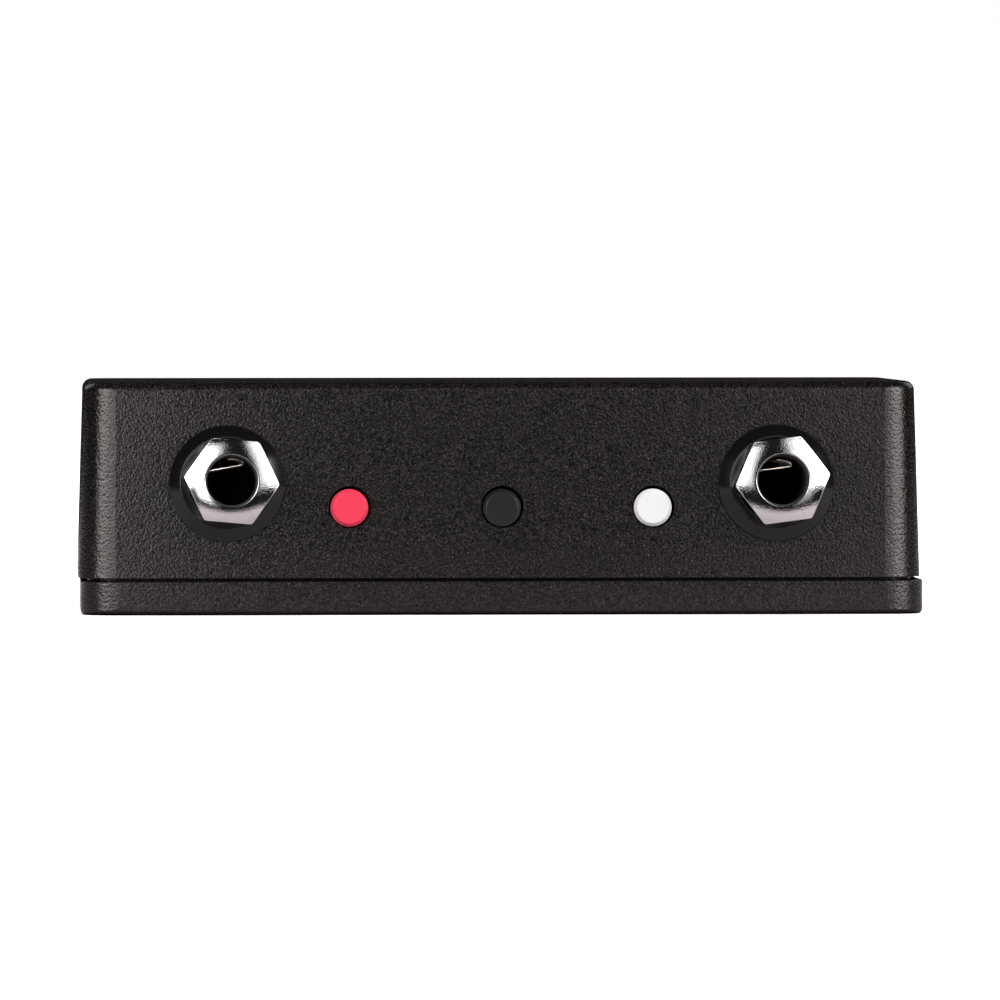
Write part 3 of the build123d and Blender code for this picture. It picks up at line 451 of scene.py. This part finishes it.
@dataclass(frozen=True)
class Plated(Finish):
    """Electroplated or tinned metal: nearly a mirror, with polishing marks, pits and thin tarnish."""

    pit_mm: float = 0.35
    pits: float = 0.1
    pit_depth: float = 0.012
    tarnish: str = "8d8a86"
    tarnish_share: float = 0.15

    def dress(self, tree: bpy.types.NodeTree, shader: Any, where: Any) -> None:
        """The plate follows the polished metal, so its reflections shiver over pits and hairlines."""
        shader.inputs["Metallic"].default_value = 1.0
        pitted = self.noise(tree, where, self.pit_mm, 3.0)
        lines = add_node(tree, "ShaderNodeMapping", {"Vector": where, "Scale": (1.0, 1.0, 6.0)}).outputs[0]
        hairs = self.noise(tree, lines, 0.5, 4.0)
        height = self.plus(tree, pitted, self.times(tree, hairs, 0.3))
        soft, _ = self.edges(tree, 0.05)
        tree.links.new(self.bump(tree, height, self.pit_depth, self.pits, soft), shader.inputs["Normal"])
        stain = self.noise(tree, where, 1.3, 4.0)
        stain = self.spread(tree, stain, (0.5, 0.8), (0.0, self.tarnish_share))
        tree.links.new(self.mix(tree, stain, self.colour, self.tarnish), shader.inputs["Base Color"])
        rough = self.spread(tree, hairs, (0.3, 0.8), (self.roughness, self.roughness + 0.06))
        tree.links.new(rough, shader.inputs["Roughness"])


@dataclass(frozen=True)
class Striped(Finish):
    """Anything built of fine parallel layers or turns, such as laminations, windings and printed bands."""

    second: str = "202020"
    pitch_mm: float = 0.35
    axis: str = "X"
    metallic: float = 0.0
    relief: float = 0.5

    def dress(self, tree: bpy.types.NodeTree, shader: Any, where: Any) -> None:
        """Each layer is a low ridge, with a darker line where it meets the next."""
        shader.inputs["Metallic"].default_value = self.metallic
        # A band texture has one wave for each 1/20 of its scale, times two pi.
        scale = per_metre(self.pitch_mm) * 2 * pi / 20
        wave = add_node(
            tree,
            "ShaderNodeTexWave",
            {"Vector": where, "Scale": scale, "Distortion": 0.25, "Detail": 1.0},
            bands_direction=self.axis,
        ).outputs["Fac"]
        grain = self.noise(tree, where, 0.25, 2.0)
        groove = self.spread(tree, wave, (0.0, 0.45), (1.0, 0.0))
        tree.links.new(self.mix(tree, groove, self.colour, self.second), shader.inputs["Base Color"])
        height = self.plus(tree, wave, self.times(tree, grain, 0.3))
        tree.links.new(self.bump(tree, height, 0.04, self.relief), shader.inputs["Normal"])
        rough = self.spread(tree, grain, (0.3, 0.7), (self.roughness - 0.05, self.roughness + 0.1))
        tree.links.new(rough, shader.inputs["Roughness"])


@dataclass(frozen=True)
class SolderMask(Finish):
    """Green lacquer over a woven glass board, with copper tracks that lift it a little."""

    lane_mm: float = 4.0
    weave_mm: float = 0.5
    track_colour: str = "2f7d46"
    weave_colour: str = "0a2a14"

    def dress(self, tree: bpy.types.NodeTree, shader: Any, where: Any) -> None:
        """Tracks show as paler lanes under the mask, and the glass weave as a faint grid."""
        inputs = {"Vector": where, "Scale": per_metre(self.lane_mm)}
        lanes = add_node(tree, "ShaderNodeTexVoronoi", inputs, feature="F1", distance="CHEBYCHEV")
        track = self.share(tree, lanes.outputs["Distance"], (0.42, 0.46))
        inputs = {"Vector": where, "Scale": per_metre(self.weave_mm)}
        weave = add_node(tree, "ShaderNodeTexChecker", inputs).outputs["Fac"]
        base = self.mix(tree, track, self.colour, self.track_colour)
        base = self.mix(tree, self.times(tree, weave, 0.08), base, self.weave_colour)
        tree.links.new(base, shader.inputs["Base Color"])
        tree.links.new(self.bump(tree, track, 0.035, 0.6), shader.inputs["Normal"])
        rough = self.noise(tree, where, 0.8)
        rough = self.spread(tree, rough, (0.3, 0.7), (self.roughness, self.roughness + 0.12))
        tree.links.new(rough, shader.inputs["Roughness"])


class Coat(Enum):
    """Every finish on the object."""

    BOX = PowderCoat("powder_coated_aluminium", "262221", 0.16)
    # Bezel: its pale edges are painted highlight on the rim, with a little wear.
    BEZEL = Moulded("glass_filled_nylon", "0f0f11", 0.17, edge_wear_and_highlight="8a8c92", edge_wear_and_highlight_share=1.0, grain=0.12)
    NOSE = Moulded("black_nylon", "0e0e0f", 0.5, edge_wear_and_highlight="2a2a2a")
    # Caps: their pale edges are painted highlight on the chamfer rings, with a little wear.
    CAP_RED = Moulded("red_abs", "f00930", 0.14, grain=0.08, edge_wear_and_highlight="ff9aa8", edge_wear_and_highlight_share=0.6, glow=0.15)
    CAP_BLACK = Moulded("black_abs", "060607", 0.08, grain=0.08, edge_wear_and_highlight="3a3a3c", edge_wear_and_highlight_share=0.6)
    CAP_WHITE = Moulded("white_abs", "c9c6c7", 0.16, grain=0.08, edge_wear_and_highlight="ffffff", edge_wear_and_highlight_share=0.2, glow=0.15)
    SWITCH = Moulded("black_pbt", "1c1c1f", 0.5, edge_wear_and_highlight="3a3a3c")
    BOBBIN = Moulded("natural_nylon", "d8cfae", 0.45, edge_wear_and_highlight="efe8cf")
    CHROME = Plated("bright_chrome_plate", "ecebec", 0.03, pit_mm=0.18, pits=0.5, pit_depth=0.02)
    NICKEL = Plated("satin_nickel_plate", "c9c6be", 0.22, pit_mm=0.2, pits=0.2)
    TINNED = Plated("tinned_phosphor_bronze", "ebe3d6", 0.38, tarnish="9a7a4c", tarnish_share=0.2)
    SPRING = Plated("drawn_spring_steel", "b9b9b9", 0.25, tarnish="6f6a64", tarnish_share=0.4)
    ZINC = Plated("zinc_plated_steel", "c4c8cc", 0.28, tarnish="8f9690", tarnish_share=0.4)
    SCREW = Plated("black_oxide_steel", "3a3a3c", 0.32, tarnish="1c1a19", tarnish_share=0.6, pits=0.3)
    CORE = Striped(
        "laminated_silicon_steel", "6d6a68", 0.4, second="2a2826", pitch_mm=0.5, axis="Y", metallic=0.8
    )
    WINDING = Striped("enamelled_copper_wire", "b4582a", 0.25, second="4a1c0c", pitch_mm=0.3, metallic=0.7)
    TAPE = Striped("polyester_film_tape", "e0a41c", 0.3, second="c78c10", pitch_mm=3.0, relief=0.1)
    RESISTOR = Striped("lacquered_metal_film", "86b4d6", 0.3, second="6b3f22", pitch_mm=1.1, relief=0.15)
    CAPACITOR = Moulded("moulded_capacitor_box", "a52a1d", 0.35, edge_wear_and_highlight="c8604f")
    BOARD = SolderMask("solder_masked_glass_epoxy", "0f5a2c", 0.3)
    WIRE_RED = Moulded("red_pvc", "b81818", 0.42, edge_wear_and_highlight="d05050", grain_mm=0.3)
    WIRE_WHITE = Moulded("white_pvc", "dedcd6", 0.42, edge_wear_and_highlight="ffffff", grain_mm=0.3)
    WIRE_BLACK = Moulded("black_pvc", "151515", 0.42, edge_wear_and_highlight="404040", grain_mm=0.3)
    WIRE_GREEN = Moulded("green_pvc", "2a8a3c", 0.42, edge_wear_and_highlight="58a868", grain_mm=0.3)


def paint(obj: bpy.types.Object, coat: Coat) -> None:
    """Gives a piece one finish."""
    obj.data.materials.clear()
    obj.data.materials.append(coat.value.material())


# --------------------------------------------------------------------------------------- placement
@dataclass(frozen=True)
class Wall:
    """The drafted front wall, in millimetres. Its own X runs along it, Y up it and Z out of it."""

    half_depth: float = 30.25
    seam: float = 4.5
    draft: float = 1.7

    def place(self, x: float, up: float) -> Matrix:
        """Placement on the wall's outer face.

        Args:
            x: Distance along the box.
            up: Distance up the wall from the seam.

        Returns:
            A matrix in metres.
        """
        c, s = cos(radians(self.draft)), sin(radians(self.draft))
        origin = Vector((x, -self.half_depth + up * s, self.seam + up * c)) * MM
        turn = Matrix(((1, 0, 0), (0, s, -c), (0, c, s))).to_4x4()
        return Matrix.Translation(origin) @ turn


# --------------------------------------------------------------------------------------- the object
@dataclass
class Jack:
    """A quarter-inch jack: its bezel, hexagon nut, body and contacts."""

    name: str
    turn: float
    wall: Wall = field(default_factory=Wall)
    x_hole: float = 36.5
    up: float = 13.27
    play: float = 0.55
    drop: float = 0.28
    body: str = "housing"

    flats: float = 11.05
    nut_steps: int = 240
    corner_cut: float = 0.045
    corner_power: float = 90.0
    nut_back: float = 1.7
    nut_front: float = 5.6
    dome_r: float = 12.0
    crest_r: float = 2.4
    hole_r: float = 3.47
    hole_edge: float = 0.09
    rim_edge: float = 0.1
    shank_r: float = 5.4
    shank_back: float = 0.8
    thread_r: float = 4.54
    thread_front: float = 4.34
    bezel_r: float = 7.697
    bezel_hole_r: float = 5.157
    bezel_edge: float = 0.35
    bezel_height: float = 1.5
    bezel_rim: float = 0.15
    recess_r: float = 6.097
    recess_floor: float = 0.8
    leaf_at: Point2 = (0.15, -0.17)
    leaf_thickness: float = 0.21
    leaf_route: tuple[Point2, ...] = (
        (-3.0, 1.67),
        (-1.6, 1.92),
        (0.0, 2.2),
        (1.2, 2.41),
        (1.5, 2.5),
        (1.54, 2.66),
        (1.36, 2.9),
        (1.05, 3.08),
        (0.6, 3.2),
        (0.1, 3.26),
        (-0.5, 3.24),
    )
    leaf_depths: tuple[Point2, ...] = ((-5.66, 0.6), (-5.68, 0.85), (-5.73, 1.0), (-24.0, 1.0))
    leaf_turn: float = 0.0

    def node(self, part: str) -> str:
        """Full node name of one of this jack's parts."""
        return f"jack_{self.name}_{part}"

    def side(self) -> float:
        """-1 for the left jack and 1 for the right one."""
        low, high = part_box(self.node("nut"))
        return -1.0 if low.x + high.x < 0 else 1.0

    def dome(self, r: float) -> float:
        """Height of the nut's domed front at a radius."""
        return self.nut_front - self.dome_r + sqrt(self.dome_r**2 - (r - self.crest_r) ** 2)

    def hexagon(self, angle: float) -> float:
        """Radius of the nut's slightly rounded hexagon at an angle."""
        around = (angle - radians(self.turn)) % (pi / 3) - pi / 6
        flat = self.flats / 2 / cos(around)
        corner = self.flats / 2 / cos(pi / 6) - self.corner_cut
        return (flat**-self.corner_power + corner**-self.corner_power) ** (-1 / self.corner_power)

    def build_nut(self) -> bpy.types.Object:
        """Domed hexagon nut with rounded edges all round.

        Returns:
            The nut, standing in for its CAD node.
        """
        angles = [2 * pi * k / self.nut_steps for k in range(self.nut_steps)]
        inner = self.hole_r + self.hole_edge
        flat = [self.hexagon(a) - self.rim_edge for a in angles]

        def ring(radius: Callable[[float], float], height: Callable[[float], float]) -> Ring:
            return [Vector((radius(a) * cos(a), radius(a) * sin(a), height(radius(a)))) for a in angles]

        rings = [circle(r, self.thread_front, angles) for r in (self.thread_r, self.hole_r)]
        for k in range(7):
            t = k / 6 * pi / 2
            r = self.hole_r + self.hole_edge * (1 - cos(t))
            rings.append(circle(r, self.dome(inner) - self.hole_edge * (1 - sin(t)), angles))
        for k in range(1, 15):
            t = k / 14
            rings.append(
                ring(lambda a, t=t: inner + (self.hexagon(a) - self.rim_edge - inner) * t, self.dome)
            )
        for k in range(1, 6):
            out, down = sin(k / 5 * pi / 2), 1 - cos(k / 5 * pi / 2)
            rim = []
            for a, r in zip(angles, flat):
                wide = r + self.rim_edge * out
                rim.append(Vector((wide * cos(a), wide * sin(a), self.dome(r) - self.rim_edge * down * 1.2)))
            rings.append(rim)
        for cut, lift in ((0.0, 0.25), (0.08, 0.08), (0.25, 0.0)):
            rings.append(
                ring(lambda a, cut=cut: self.hexagon(a) - cut, lambda r, lift=lift: self.nut_back + lift)
            )
        rings.append(circle(self.shank_r, self.nut_back, angles))
        rings.append(circle(self.shank_r, self.shank_back, angles))
        rings.append(circle(self.thread_r, self.shank_back, angles))
        place = self.wall.place(self.side() * self.x_hole + self.play, self.up)
        nut = ring_mesh(f"{self.node('nut')}_plated", rings, place, closed=True)
        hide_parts(self.node("nut"))
        return nut

    def build_bezel(self) -> bpy.types.Object:
        """Black ring with a sloping flange and a shallow recess for the nut.

        Returns:
            The bezel, standing in for its CAD node.
        """
        corners = [
            (self.bezel_hole_r, 0.0, 0.0),
            (self.bezel_r, 0.0, 0.05),
            (self.bezel_r, self.bezel_edge, 0.16),
            (self.recess_r + self.bezel_rim, self.bezel_height, 0.07),
            (self.recess_r, self.bezel_height, 0.06),
            (self.recess_r, self.recess_floor, 0.1),
            (self.bezel_hole_r, self.recess_floor, 0.0),
        ]
        place = self.wall.place(self.side() * self.x_hole, self.up - self.drop)
        bezel = lathe(f"{self.node('bezel')}_ring", rounded(corners), place, closed=True, steps=144)
        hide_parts(self.node("bezel"))
        return bezel

    def build_tip_contact(self) -> bpy.types.Object:
        """Spring leaf in the bore: a flat fold that turns up and back at its right side.

        Returns:
            The contact, standing in for its CAD node.
        """
        x, y = self.leaf_at
        turn = Matrix.Rotation(radians(self.leaf_turn), 2)
        line = [tuple(turn @ Vector(point) + Vector((x, y))) for point in self.leaf_route]
        rings = []
        for depth, share in self.leaf_depths:
            outline = strip(line, self.leaf_thickness * share)
            rings.append([Vector((px, py, depth)) for px, py in outline])
        place = self.wall.place(self.side() * self.x_hole + self.play, self.up)
        leaf = ring_mesh(f"{self.node('tip_contact')}_leaf", rings, place, closed=False)
        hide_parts(self.node("tip_contact"))
        return leaf

    def build(self, nodes: dict[str, bpy.types.Object]) -> None:
        """Builds and dresses the whole jack."""
        for piece, coat in (
            (self.build_nut(), Coat.CHROME),
            (self.build_bezel(), Coat.BEZEL),
            (self.build_tip_contact(), Coat.TINNED),
        ):
            paint(piece, coat)
            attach(piece, self.body)
            LOG.info("%s", piece.name)
        paint(nodes[self.node("body")], Coat.NOSE)
        paint(nodes[self.node("sleeve_contact")], Coat.TINNED)


def strip(route: Sequence[Point2], thickness: float) -> list[Point2]:
    """Outline of a bent strip.

    Args:
        route: Points along the strip's middle.
        thickness: The strip's thickness.

    Returns:
        The closed outline, down one side and back up the other.
    """
    left: list[Point2] = []
    right: list[Point2] = []
    for i, point in enumerate(route):
        before, after = Vector(route[max(i - 1, 0)]), Vector(route[min(i + 1, len(route) - 1)])
        along = (after - before).normalized()
        side = Vector((-along.y, along.x)) * thickness / 2
        left.append((point[0] + side.x, point[1] + side.y))
        right.append((point[0] - side.x, point[1] - side.y))
    return right + left[::-1]


@dataclass
class PushButton:
    """A push button that is pressed and springs back: its cap, and the switch behind it."""

    colour: str
    coat: Coat
    x: float
    wall: Wall = field(default_factory=Wall)
    up: float = 9.73
    cap_r: float = 2.5
    chamfer: float = 0.42
    proud: float = 1.2
    length: float = 5.0
    dish: float = 0.05

    def build(self, nodes: dict[str, bpy.types.Object]) -> None:
        """Builds the cap with soft edges and dresses the switch."""
        face_r = self.cap_r - self.chamfer
        corners = [
            (0.02, self.proud - self.dish, 0.0),
            (face_r * 0.6, self.proud - self.dish * 0.5, 0.4),
            (face_r, self.proud, 0.09),
            (self.cap_r, self.proud - self.chamfer, 0.12),
            (self.cap_r, self.proud - self.length, 0.1),
            (0.02, self.proud - self.length, 0.0),
        ]
        name = f"button_cap_{self.colour}"
        cap = lathe(f"{name}_moulding", rounded(corners, 5), self.wall.place(self.x, self.up), closed=False)
        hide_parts(name)
        paint(cap, self.coat)
        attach(cap, f"button_{self.colour}")
        LOG.info("%s", cap.name)
        for part in ("housing", "base", "plunger"):
            paint(nodes[f"switch_{self.colour}_{part}"], Coat.SWITCH)
        paint(nodes[f"switch_{self.colour}_spring"], Coat.SPRING)


@dataclass
class Casting:
    """The die-cast body and its lid, with the lid's screws."""

    def build(self, nodes: dict[str, bpy.types.Object]) -> None:
        """Dresses both castings and the screws."""
        for node in ("enclosure", "base_lid"):
            paint(nodes[node], Coat.BOX)
        paint(nodes["lid_screws"], Coat.SCREW)
        LOG.info("castings")


@dataclass
class Insides:
    """The circuit board with its components, the transformer, the XLR output and the leads."""

    finishes: dict[str, Coat] = field(
        default_factory=lambda: {
            "circuit_board": Coat.BOARD,
            "resistors": Coat.RESISTOR,
            "film_capacitors": Coat.CAPACITOR,
            "switch_pins": Coat.TINNED,
            "transformer_core": Coat.CORE,
            "transformer_bobbin": Coat.BOBBIN,
            "transformer_primary": Coat.WINDING,
            "transformer_secondary": Coat.WINDING,
            "transformer_tape": Coat.TAPE,
            "transformer_pins": Coat.TINNED,
            "xlr_shell": Coat.NICKEL,
            "xlr_insert": Coat.NOSE,
            "xlr_pins": Coat.TINNED,
            "xlr_screws": Coat.SCREW,
            "xlr_nuts": Coat.ZINC,
            "earth_lug": Coat.ZINC,
            "lead_hot": Coat.WIRE_RED,
            "lead_cold": Coat.WIRE_WHITE,
            "lead_shield": Coat.WIRE_BLACK,
            "lead_earth": Coat.WIRE_GREEN,
        }
    )

    def build(self, nodes: dict[str, bpy.types.Object]) -> None:
        """Dresses every node that keeps its CAD shape."""
        for node, coat in self.finishes.items():
            paint(nodes[node], coat)
        LOG.info("insides")


# ------------------------------------------------------------------------------------------ studio
@dataclass
class Studio:
    """Pale floor, white backdrop, softboxes and the camera, in metres and degrees."""

    camera_at: Point3 = (-0.060, -1.530, 0.0446)
    yaw: float = 2.28
    pitch: float = -1.12
    roll: float = -0.05
    lens: float = 407.16
    target: Point3 = (0.0, -0.030, 0.016)
    distance: float = 0.7
    strip_size: Point2 = (0.032, 0.065)
    strip_at: Point3 = (0.072, -0.16, 0.03)
    dome_r: float = 4.0
    floor_colour: str = "f4f3f2"
    floor_half: float = 3.0
    floor_radiance: float = 1.7
    table_colour: str = "c9bfc2"
    ambient: float = 0.012
    panels: tuple[tuple[str, Point2, Point2, float], ...] = (
        ("softbox_left_inner", (-17.0, -9.0), (-0.5, 27.0), 1.15),
        ("softbox_left_middle", (-28.0, -17.0), (-0.5, 27.0), 2.8),
        ("softbox_left_outer", (-61.0, -28.0), (-0.5, 27.0), 6.1),
        ("softbox_right_inner", (10.5, 20.0), (-0.5, 33.0), 1.1),
        ("softbox_right_middle", (20.0, 34.0), (-0.5, 33.0), 2.5),
        ("softbox_right_outer", (34.0, 72.0), (-0.5, 33.0), 5.9),
    )

    def build_camera(self) -> None:
        """Long lens almost level with the box, slightly left of its middle."""
        data = bpy.data.cameras.new("camera")
        data.lens = self.lens
        data.sensor_width = 36.0
        data.clip_start, data.clip_end = 0.01, 20.0
        camera = bpy.data.objects.new("camera", data)
        bpy.context.scene.collection.objects.link(camera)
        yaw, pitch = radians(self.yaw), radians(self.pitch)
        forward = Vector((sin(yaw) * cos(pitch), cos(yaw) * cos(pitch), sin(pitch)))
        camera.location = self.camera_at
        camera.rotation_mode = "QUATERNION"
        camera.rotation_quaternion = forward.to_track_quat("-Z", "Y")
        camera.rotation_quaternion = camera.rotation_quaternion @ Matrix.Rotation(
            radians(self.roll), 4, "Z"
        ).to_quaternion()
        bpy.context.scene.camera = camera

    def area(self, name: str, size: Point2, radiance: float) -> bpy.types.Object:
        """Adds a rectangular light that the camera doesn't see.

        Args:
            name: The light's name.
            size: Width and height in metres.
            radiance: Brightness of its face, 1 being white.

        Returns:
            The light.
        """
        data = bpy.data.lights.new(name, "AREA")
        data.shape = "RECTANGLE"
        data.size, data.size_y = size
        data.energy = radiance * size[0] * size[1] * pi
        light = bpy.data.objects.new(name, data)
        bpy.context.scene.collection.objects.link(light)
        light.visible_camera = False
        return light

    def softbox(
        self,
        name: str,
        azimuth: float,
        height: float,
        size: Point2,
        distance: float,
        radiance: float,
        glossy: bool = True,
    ) -> bpy.types.Object:
        """Adds one rectangular softbox that faces the object.

        Args:
            name: The light's name.
            azimuth: Degrees round the object from the front, positive to the right.
            height: Degrees above the horizon.
            size: Width and height in metres.
            distance: Metres from the object.
            radiance: Brightness of its face, 1 being white.
            glossy: Whether it shows in reflections.

        Returns:
            The light.
        """
        light = self.area(name, size, radiance)
        a, e = radians(azimuth), radians(height)
        back = Vector((sin(a) * cos(e), -cos(a) * cos(e), sin(e)))
        light.location = Vector(self.target) + back * distance
        light.rotation_mode = "QUATERNION"
        light.rotation_quaternion = (-back).to_track_quat("-Z", "Y")
        light.visible_glossy = glossy
        return light

    def card(
        self, name: str, x: Point2, y: Point2, z: float, colour: str, glow: float
    ) -> bpy.types.Object:
        """Adds a level card.

        Args:
            name: The card's name.
            x: Its ends along X, in metres.
            y: Its ends along Y, in metres.
            z: Its height, in metres.
            colour: Its sRGB colour.
            glow: Emission strength, or 0 for a plain painted card.

        Returns:
            The card.
        """
        corners = [(x[0], y[0], z), (x[1], y[0], z), (x[1], y[1], z), (x[0], y[1], z)]
        mesh = bpy.data.meshes.new(name)
        mesh.from_pydata(corners, [], [(0, 1, 2, 3)])
        card = bpy.data.objects.new(name, mesh)
        bpy.context.scene.collection.objects.link(card)
        made = bpy.data.materials.new(name)
        made.use_nodes = True
        shader = made.node_tree.nodes["Principled BSDF"]
        shader.inputs["Base Color"].default_value = to_linear(colour)
        shader.inputs["Roughness"].default_value = 0.9
        if glow:
            shader.inputs["Emission Color"].default_value = to_linear(colour)
            shader.inputs["Emission Strength"].default_value = glow
        mesh.materials.append(made)
        return card

    def build_backdrop(self) -> None:
        """White dome all round, which only the camera sees."""
        bpy.ops.mesh.primitive_uv_sphere_add(segments=48, ring_count=24, radius=self.dome_r)
        dome = bpy.context.object
        dome.name = "backdrop"
        made = bpy.data.materials.new("backdrop")
        made.use_nodes = True
        tree = made.node_tree
        tree.nodes.clear()
        glow = add_node(tree, "ShaderNodeEmission", {"Color": (1, 1, 1, 1), "Strength": 1.0})
        add_node(tree, "ShaderNodeOutputMaterial", {"Surface": glow.outputs[0]})
        dome.data.materials.append(made)
        for way in ("diffuse", "glossy", "transmission", "volume_scatter", "shadow"):
            setattr(dome, f"visible_{way}", False)

    def panel(self, name: str, azimuth: Point2, height: Point2, radiance: float) -> None:
        """One vertical panel of a softbox, which is dimmer towards the camera.

        Args:
            name: The light's name.
            azimuth: Its two sides, in degrees round the object from the front.
            height: Its bottom and top, in degrees above the horizon.
            radiance: Brightness of its face, 1 being white.
        """
        width = 2 * self.distance * tan(radians(azimuth[1] - azimuth[0]) / 2)
        tall = 2 * self.distance * tan(radians(height[1] - height[0]) / 2)
        middle = (sum(azimuth) / 2, sum(height) / 2)
        self.softbox(name, *middle, (width, tall), self.distance, radiance)

    def edge_strip(self, name: str, side: float, radiance: float) -> None:
        """Narrow upright strip close in front of one end, seen only as a sheen that fades from that end.

        Args:
            name: The light's name.
            side: -1 for the left end, 1 for the right.
            radiance: Brightness of its face, 1 being white.
        """
        light = self.area(name, self.strip_size, radiance)
        light.location = (side * self.strip_at[0], *self.strip_at[1:])
        light.rotation_euler = (radians(90), 0.0, 0.0)
        light.visible_diffuse = False

    def floor_light(self) -> bpy.types.Object:
        """Wide light from above that whitens the floor, with a soft shadow under the object.

        Returns:
            The light.
        """
        data = bpy.data.lights.new("floor_light", "SUN")
        data.angle = radians(70)
        data.energy = self.floor_radiance * pi
        light = bpy.data.objects.new("floor_light", data)
        bpy.context.scene.collection.objects.link(light)
        return light

    def only(self, light: bpy.types.Object, lit: Iterable[bpy.types.Object]) -> None:
        """Keeps a light to these objects.

        Args:
            light: The light.
            lit: What it may shine on.
        """
        group = bpy.data.collections.new(f"{light.name}_only")
        for obj in lit:
            group.objects.link(obj)
        light.light_linking.receiver_collection = group

    def build(self) -> None:
        """Lays out the whole studio."""
        self.build_camera()
        self.build_backdrop()
        wide = (-self.floor_half, self.floor_half)
        floor = self.card("floor", wide, wide, 0.0, self.floor_colour, 0.0)
        floor.visible_glossy = floor.visible_diffuse = False
        for name, x, y, radiance in (
            ("table_glow", (-0.25, 0.25), (-0.087, 0.04), 0.24),
            ("table_glow_rear", (-0.35, 0.35), (0.045, 0.4), 0.6),
        ):
            glow = self.card(name, x, y, 0.0002, self.table_colour, radiance)
            glow.visible_camera = glow.visible_diffuse = glow.visible_shadow = False
        self.only(self.floor_light(), [floor])
        for panel in self.panels:
            self.panel(*panel)
        self.edge_strip("edge_strip_left", -1.0, 2.4)
        self.edge_strip("edge_strip_right", 1.0, 0.4)
        self.softbox("fill", 0.0, 50.0, (0.3, 0.06), 0.19, 1.4, glossy=False)
        snoot = self.softbox("snoot", 0.0, 6.0, (0.12, 0.12), self.distance, 50.0)
        self.only(snoot, [obj for obj in bpy.data.objects if obj.name.endswith("_leaf")])
        self.softbox("rear_fill", 180.0, 35.0, (0.8, 0.4), 1.0, 6.0, glossy=False)
        for name, azimuth in (("softbox_rear_left", -135.0), ("softbox_rear_right", 135.0)):
            self.softbox(name, azimuth, 25.0, (0.5, 0.5), 1.0, 1.0)
        world = bpy.data.worlds.new("studio")
        world.use_nodes = True
        background = world.node_tree.nodes["Background"]
        background.inputs["Color"].default_value = to_linear("ffffff")
        background.inputs["Strength"].default_value = self.ambient
        scene = bpy.context.scene
        scene.world = world
        scene.view_settings.view_transform = "Standard"
        LOG.info("studio")


def main() -> None:
    """Builds the object, then the studio round it."""
    logging.basicConfig(level=logging.INFO, format="%(name)s: %(message)s")
    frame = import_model()
    nodes = frame["nodes"]
    Casting().build(nodes)
    Jack("input", -5.0).build(nodes)
    Jack("thru", 7.5, leaf_at=(0.16, -0.42), leaf_turn=-3.0).build(nodes)
    PushButton("red", Coat.CAP_RED, -20.3).build(nodes)
    PushButton("black", Coat.CAP_BLACK, -0.05).build(nodes)
    PushButton("white", Coat.CAP_WHITE, 20.0).build(nodes)
    Insides().build(nodes)
    Studio().build()


if __name__ == "__main__":
    main()
